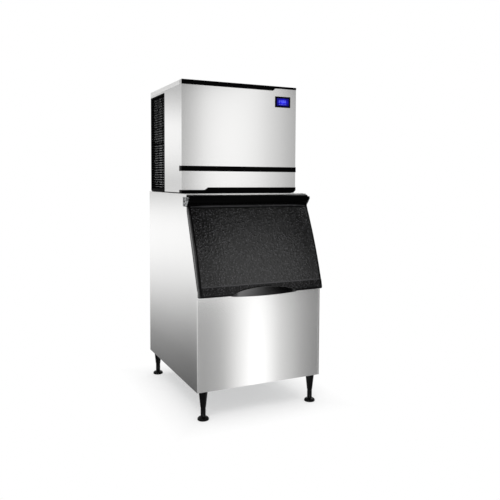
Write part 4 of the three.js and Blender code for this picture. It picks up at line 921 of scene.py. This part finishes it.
SCREW_RADIUS, RECESS, RECESS_REACH = 4.5, 0.45, 0.65
BRACKET_PLATE, BRACKET_SCREW_BACK, BRACKET_SCREW_DROPS, BRACKET_REACH = 3, 22, (10, 27, 44), 2.4
PANEL_INSET, PANEL_END, PANEL_REACH = 18, 40, 2.2


def screw(x, depth, z, axis, reach, sides=20):
    """Points and faces of a pan head with a cross recess; axis is 0 for x and 1 for depth."""
    rings = [(0.0, 0.75), (0.25, 0.95), (0.6, 0.9), (0.88, 0.62), (1.0, 0.0)]
    rows = []
    for share, rise in rings:
        row = []
        for k in range(sides):
            a = 2 * math.pi * k / sides
            recess = RECESS if k % (sides // 4) == 0 and share < RECESS_REACH else 0
            u, v = SCREW_RADIUS * share * math.cos(a), SCREW_RADIUS * share * math.sin(a)
            out = reach * (rise - recess)
            on_side, on_back = (x + out, depth + u, z + v), (x + u, depth + out, z + v)
            row.append(on_side if axis == 0 else on_back)
        rows.append(row)
    return skin(rows, closed=True)


def screws(name, places, axis, reach, finish=bracket_zinc):
    """Screws of one size as a single piece."""
    verts, faces = [], []
    for x, depth, z in places:
        points, quads = screw(x, depth, z, axis, reach)
        faces += shifted(quads, verts)
        verts += points
    make(name, "cabinet", verts, faces, finish, 60)


def bracket_screws(side):
    """A row of screws down the plate of a hinge bracket."""
    low, high = span_of("hinge_bracket_left")
    x, depth = side * (abs(low[0]) - BRACKET_PLATE), low[1] + BRACKET_SCREW_BACK
    places = [(x, depth, high[2] - drop) for drop in BRACKET_SCREW_DROPS]
    screws(f"bracket_screws_{'left' if side < 0 else 'right'}", places, 0, side * BRACKET_REACH, black_paint)


def panel_screws(node):
    """A row of screws down both sides of a rear panel."""
    low, high = span_of(node)
    heights = evenly(low[2] + PANEL_END, high[2] - PANEL_END, 4)
    places = [(x, low[1], z) for x in (low[0] + PANEL_INSET, high[0] - PANEL_INSET) for z in heights]
    screws(f"{node}_screws", places, 1, -PANEL_REACH)


bracket_screws(-1)
bracket_screws(1)
panel_screws("head_rear_panel")
panel_screws("bin_back_panel")


# Marks on the display: plain bars and seven-stroke figures

FIGURES, FIGURE_WIDTH, FIGURE_HEIGHT, STROKE, FIGURE_GAP = "2408", 8, 15, 1.6, 5
BARS, BAR_WIDTH, BAR_HEIGHT, BAR_PITCH, BAR_LOW = 5, 7, 2, 11, 7
MARK_SIDE, MARK_TOP, MARK_PROUD, MARK_SUNK = 14, 12, 0.15, 0.15
STROKES = {
    "0": "abcdef",
    "2": "abged",
    "4": "fgbc",
    "8": "abcdefg",
}


def strokes():
    """Each stroke of a figure as (u0, v0, u1, v1)."""
    width, height, half = FIGURE_WIDTH, FIGURE_HEIGHT, FIGURE_HEIGHT / 2
    return {
        "a": (0, height - STROKE, width, height),
        "b": (width - STROKE, half, width, height),
        "c": (width - STROKE, 0, width, half),
        "d": (0, 0, width, STROKE),
        "e": (0, 0, STROKE, half),
        "f": (0, half, STROKE, height),
        "g": (0, half - STROKE / 2, width, half + STROKE / 2),
    }


def mark_bars(low, high):
    """Every stroke and bar on the glass as (u0, v0, u1, v1)."""
    left, bottom = low[0] + MARK_SIDE, high[2] - MARK_TOP - FIGURE_HEIGHT
    bars = []
    for i, figure in enumerate(FIGURES):
        for key in STROKES[figure]:
            u0, v0, u1, v1 = strokes()[key]
            start = left + i * (FIGURE_WIDTH + FIGURE_GAP)
            bars.append((start + u0, bottom + v0, start + u1, bottom + v1))
    for i in range(BARS):
        start, foot = left + i * BAR_PITCH, low[2] + BAR_LOW
        bars.append((start, foot, start + BAR_WIDTH, foot + BAR_HEIGHT))
    return bars


def display_marks():
    low, high = span_of("display_screen")
    depths = (high[1] - MARK_SUNK, high[1] + MARK_PROUD)
    verts, faces = [], []
    for u0, v0, u1, v1 in mark_bars(low, high):
        corners = ((u0, v0), (u1, v0), (u1, v1), (u0, v1))
        points, quads = capped([[(u, d, v) for u, v in corners] for d in depths])
        faces += shifted(quads, verts)
        verts += points
    make("display_marks", "cabinet", verts, faces, lit_segment)


display_marks()


# Floor, light and reflections: places here are in metres


def stage_mesh(name, verts, material):
    mesh = bpy.data.meshes.new(name)
    mesh.from_pydata(verts, [], [(0, 1, 2, 3)])
    item = bpy.data.objects.new(name, mesh)
    bpy.context.scene.collection.objects.link(item)
    mesh.materials.append(material)
    return item


FLOOR_HALF = 60
SHADE_START, SHADE_END = -0.08, 0.18  # where the floor turns plain white, from the bin's outline
STAND_LOW, STAND_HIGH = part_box("bin_side_panel_left")
STAND_HALF = -STAND_LOW[0]
STAND_MIDDLE = (STAND_LOW[1] + STAND_HIGH[1]) / 2
STAND_DEEP = (STAND_HIGH[1] - STAND_LOW[1]) / 2
NEAR_WHITE, FAR_WHITE = 0.38, 1.0  # share of plain white that the camera and metal see in the floor


def floor_material():
    """White floor that keeps the object's shadow and turns plain white further out."""
    material, t = new_tree("studio_floor")
    diffuse = t.add("ShaderNodeBsdfDiffuse")
    tone = t.span(t.noise(2.5, detail=3), 0.3, 0.7, 0.95, 0.96)
    t.link(t.tint(tone, (1, 1, 1)), diffuse.inputs["Color"])
    glow = t.add("ShaderNodeEmission")
    glow.inputs["Color"].default_value = (1, 1, 1, 1)
    beside = t.math("SUBTRACT", t.math("ABSOLUTE", t.axis("X")), STAND_HALF)
    along = t.math("SUBTRACT", t.math("ABSOLUTE", t.math("SUBTRACT", t.axis("Y"), STAND_MIDDLE)), STAND_DEEP)
    share = t.span(t.math("MAXIMUM", beside, along), SHADE_START, SHADE_END, NEAR_WHITE, FAR_WHITE)
    mixed = t.add("ShaderNodeMixShader")
    t.link(t.math("MULTIPLY", share, t.seen()), mixed.inputs[0])
    t.link(diffuse.outputs[0], mixed.inputs[1])
    t.link(glow.outputs[0], mixed.inputs[2])
    output = t.add("ShaderNodeOutputMaterial")
    t.link(mixed.outputs[0], output.inputs[0])
    return material


stage_mesh(
    "floor",
    [(x * FLOOR_HALF, y * FLOOR_HALF, 0) for x, y in ((-1, -1), (1, -1), (1, 1), (-1, 1))],
    floor_material(),
)


def card(name, corners, level):
    """A studio board that only metal and gloss see; level builds its brightness."""
    material, t = new_tree(name)
    glow = t.add("ShaderNodeEmission")
    t.link(level(t), glow.inputs["Strength"])
    output = t.add("ShaderNodeOutputMaterial")
    t.link(glow.outputs[0], output.inputs[0])
    board = stage_mesh(name, corners, material)
    board.visible_camera = False
    board.visible_diffuse = False
    board.visible_shadow = False
    board.visible_transmission = False
    board.visible_volume_scatter = False


def standing(start, end, bottom, top):
    """Corners of an upright board from its (x, y) ends."""
    return [(*start, bottom), (*end, bottom), (*end, top), (*start, top)]


def lying(low, high):
    """Corners of a board just over the floor from its lowest and highest (x, y)."""
    (x0, y0), (x1, y1) = low, high
    return [(x, y, CARD_LEVEL) for x, y in ((x0, y0), (x1, y0), (x1, y1), (x0, y1))]


TOP_LEVEL = 4  # the brightest that a curve of levels can give


def curve(t, value, stops):
    """A smooth curve through (place, level) stops."""
    low, high = stops[0][0], stops[-1][0]
    shades = [((place - low) / (high - low), (level / TOP_LEVEL,) * 3) for place, level in stops]
    split = t.add("ShaderNodeRGBToBW")
    t.link(t.ramp(t.span(value, low, high), shades, "CARDINAL"), split.inputs[0])
    return t.math("MULTIPLY", split.outputs[0], TOP_LEVEL)


BOARD_Y, BOARD_LEFT, BOARD_RIGHT, BOARD_LOW, BOARD_HIGH = -2.13, -5, 6, 0.45, 14
HEAD_RISE, HEAD_FADE, HANDLE_FADE = (0.85, 0.97), (2.2, 2.35), (0.78, 0.90)
HEAD_GLOW = [
    (0.1, 0.5), (0.34, 0.60), (0.5, 0.93), (0.66, 1.11),
    (0.95, 1.10), (1.15, 0.93), (1.4, 0.64), (1.9, 0.3),
]
HANDLE_GLOW = [
    (-0.5, 2.4), (0.3, 2.3), (0.5, 1.95), (0.6, 1.45), (0.7, 0.95),
    (0.8, 0.35), (0.9, 0.12), (1.0, 0), (1.7, 0),
]
DOOR_GLOW = [(0.2, 0.0), (0.6, 0.2), (0.85, 0.8), (1.1, 1.4), (1.35, 0.8), (1.6, 0.15), (1.85, 0), (2.3, 0)]
DOOR_FADE = [(2.25, 0), (2.4, 1), (2.8, 0.75), (3.2, 0.4), (3.8, 0.08), (4.4, 0)]
WING_LEVEL, WING_LEFT, WING_RIGHT, WING_RISE = 0.55, (-1.3, -0.5), (3.0, 4.0), (2.2, 2.5)


def front_levels(t):
    """Upright glow for the head, one under it for the door's handle and one over it for the door."""
    across, height = t.axis("X"), t.axis("Z")
    head_part = t.math("MULTIPLY", t.span(height, *HEAD_RISE), t.span(height, *HEAD_FADE, 1, 0))
    head = t.math("MULTIPLY", curve(t, across, HEAD_GLOW), head_part)
    handle = t.math("MULTIPLY", curve(t, across, HANDLE_GLOW), t.span(height, *HANDLE_FADE, 1, 0))
    door = t.math("MULTIPLY", curve(t, across, DOOR_GLOW), curve(t, height, DOOR_FADE))
    left = t.span(across, *WING_LEFT, WING_LEVEL, 0)
    right = t.span(across, *WING_RIGHT, 0, WING_LEVEL)
    wings = t.math("MULTIPLY", t.math("ADD", left, right), t.span(height, *WING_RISE))
    return t.math("ADD", t.math("ADD", head, handle), t.math("ADD", door, wings))


CARD_LEVEL, FLOOR_SPLIT = 0.004, -0.45  # height over the floor, and where its two cards meet
FAN_X, FAN_Y = -1.461, 2.485
FLOOR_GLOW = [
    (0.34, 0.46), (0.39, 0.42), (0.43, 0.68), (0.472, 1.24),
    (0.50, 1.36), (0.535, 0.90), (0.58, 0.53), (0.63, 0.29),
]


def floor_front(t):
    """Bands that fan out over the floor from one point, so they stand upright on the bin's front."""
    run = t.math("SUBTRACT", FAN_Y, t.axis("Y"))
    return curve(t, t.math("DIVIDE", t.math("SUBTRACT", t.axis("X"), FAN_X), run), FLOOR_GLOW)


SIDE_FAN_X, SIDE_FAN_Y = 0.699, -3.356
SIDE_BAND, SIDE_BAND_GAIN = (0.28, 0.36), 0.75
SIDE_FADE, SIDE_FADE_END = (0.4, 1.6), 0.1
SIDE_GLOW = [(0.0, 0.10), (0.2, 0.155), (0.4, 0.245), (0.7, 0.44), (1.05, 0.66), (1.4, 0.86), (2.0, 1.05)]


def floor_side(t):
    """Darker near the bin, and lighter towards the back."""
    off = t.math("SUBTRACT", -STAND_HALF, t.axis("X"))
    across = t.math("SUBTRACT", SIDE_FAN_X, t.axis("X"))
    column = t.math("DIVIDE", across, t.math("SUBTRACT", t.axis("Y"), SIDE_FAN_Y))
    band = t.span(column, *SIDE_BAND, SIDE_BAND_GAIN, 0)
    gain = t.math("MULTIPLY", band, t.span(off, *SIDE_FADE, 1, SIDE_FADE_END))
    return t.math("MULTIPLY", curve(t, off, SIDE_GLOW), t.math("ADD", gain, 1))


BACK_Y, BACK_LEFT, BACK_RIGHT, BACK_HIGH = 5.8, -4.6, -0.8, 3.6
BACK_GLOW = [
    (0.0, 1.08), (0.5, 1.15), (0.85, 1.02), (1.2, 0.66),
    (1.55, 0.94), (1.95, 1.08), (2.25, 1.06), (2.75, 0.54),
]
FRONT_CARD = (-0.9, -5), (3.6, FLOOR_SPLIT)
SIDE_CARD = (-3.4, FLOOR_SPLIT), (-0.39, 5.7)
CORNER_ENDS, RIGHT_ENDS = ((-5, -5), (-5, 3)), ((5, -4), (5, 4))
SIDE_HIGH, BOARD_FOOT = 4, 0.01
SIDE_RISE, SIDE_LEVELS = (0.4, 3.2), (0.45, 0.95)


def side_levels(t):
    """Lighter towards the top."""
    return t.span(t.axis("Z"), *SIDE_RISE, *SIDE_LEVELS)


card(
    "front_board",
    standing((BOARD_LEFT, BOARD_Y), (BOARD_RIGHT, BOARD_Y), BOARD_LOW, BOARD_HIGH),
    front_levels,
)
card("floor_front_card", lying(*FRONT_CARD), floor_front)
card("floor_side_card", lying(*SIDE_CARD), floor_side)
card(
    "side_board",
    standing((BACK_LEFT, BACK_Y), (BACK_RIGHT, BACK_Y), BOARD_FOOT, BACK_HIGH),
    lambda t: curve(t, t.axis("Z"), BACK_GLOW),
)
card("corner_board", standing(*CORNER_ENDS, BOARD_FOOT, SIDE_HIGH), side_levels)
card("right_board", standing(*RIGHT_ENDS, BOARD_FOOT, SIDE_HIGH), side_levels)

WORLD_LIGHT = 0.78


def world_light():
    """Plain white to the camera and the metal, and a softer level as light."""
    world = bpy.data.worlds.new("studio")
    bpy.context.scene.world = world
    world.use_nodes = True
    world.cycles.sampling_method = "NONE"
    t = Tree(world.node_tree)
    back = t.add("ShaderNodeBackground")
    back.inputs["Color"].default_value = (1, 1, 1, 1)
    t.link(t.span(t.seen(), 0, 1, WORLD_LIGHT, 1.0), back.inputs["Strength"])
    output = t.add("ShaderNodeOutputWorld")
    t.link(back.outputs[0], output.inputs[0])


world_light()

LAMP_AIM = (0, 0, 0.8)


def area(name, place, size, power):
    """A soft square lamp that points at the object."""
    light = bpy.data.lights.new(name, "AREA")
    light.shape = "SQUARE"
    light.size = size
    light.energy = power
    item = bpy.data.objects.new(name, light)
    bpy.context.scene.collection.objects.link(item)
    item.location = place
    item.rotation_euler = (Vector(LAMP_AIM) - Vector(place)).to_track_quat("-Z", "Y").to_euler()


area("key", (-2.2, -2.6, 3.6), size=1.6, power=45)
area("fill", (2.6, 1.4, 3.4), size=2.0, power=22)
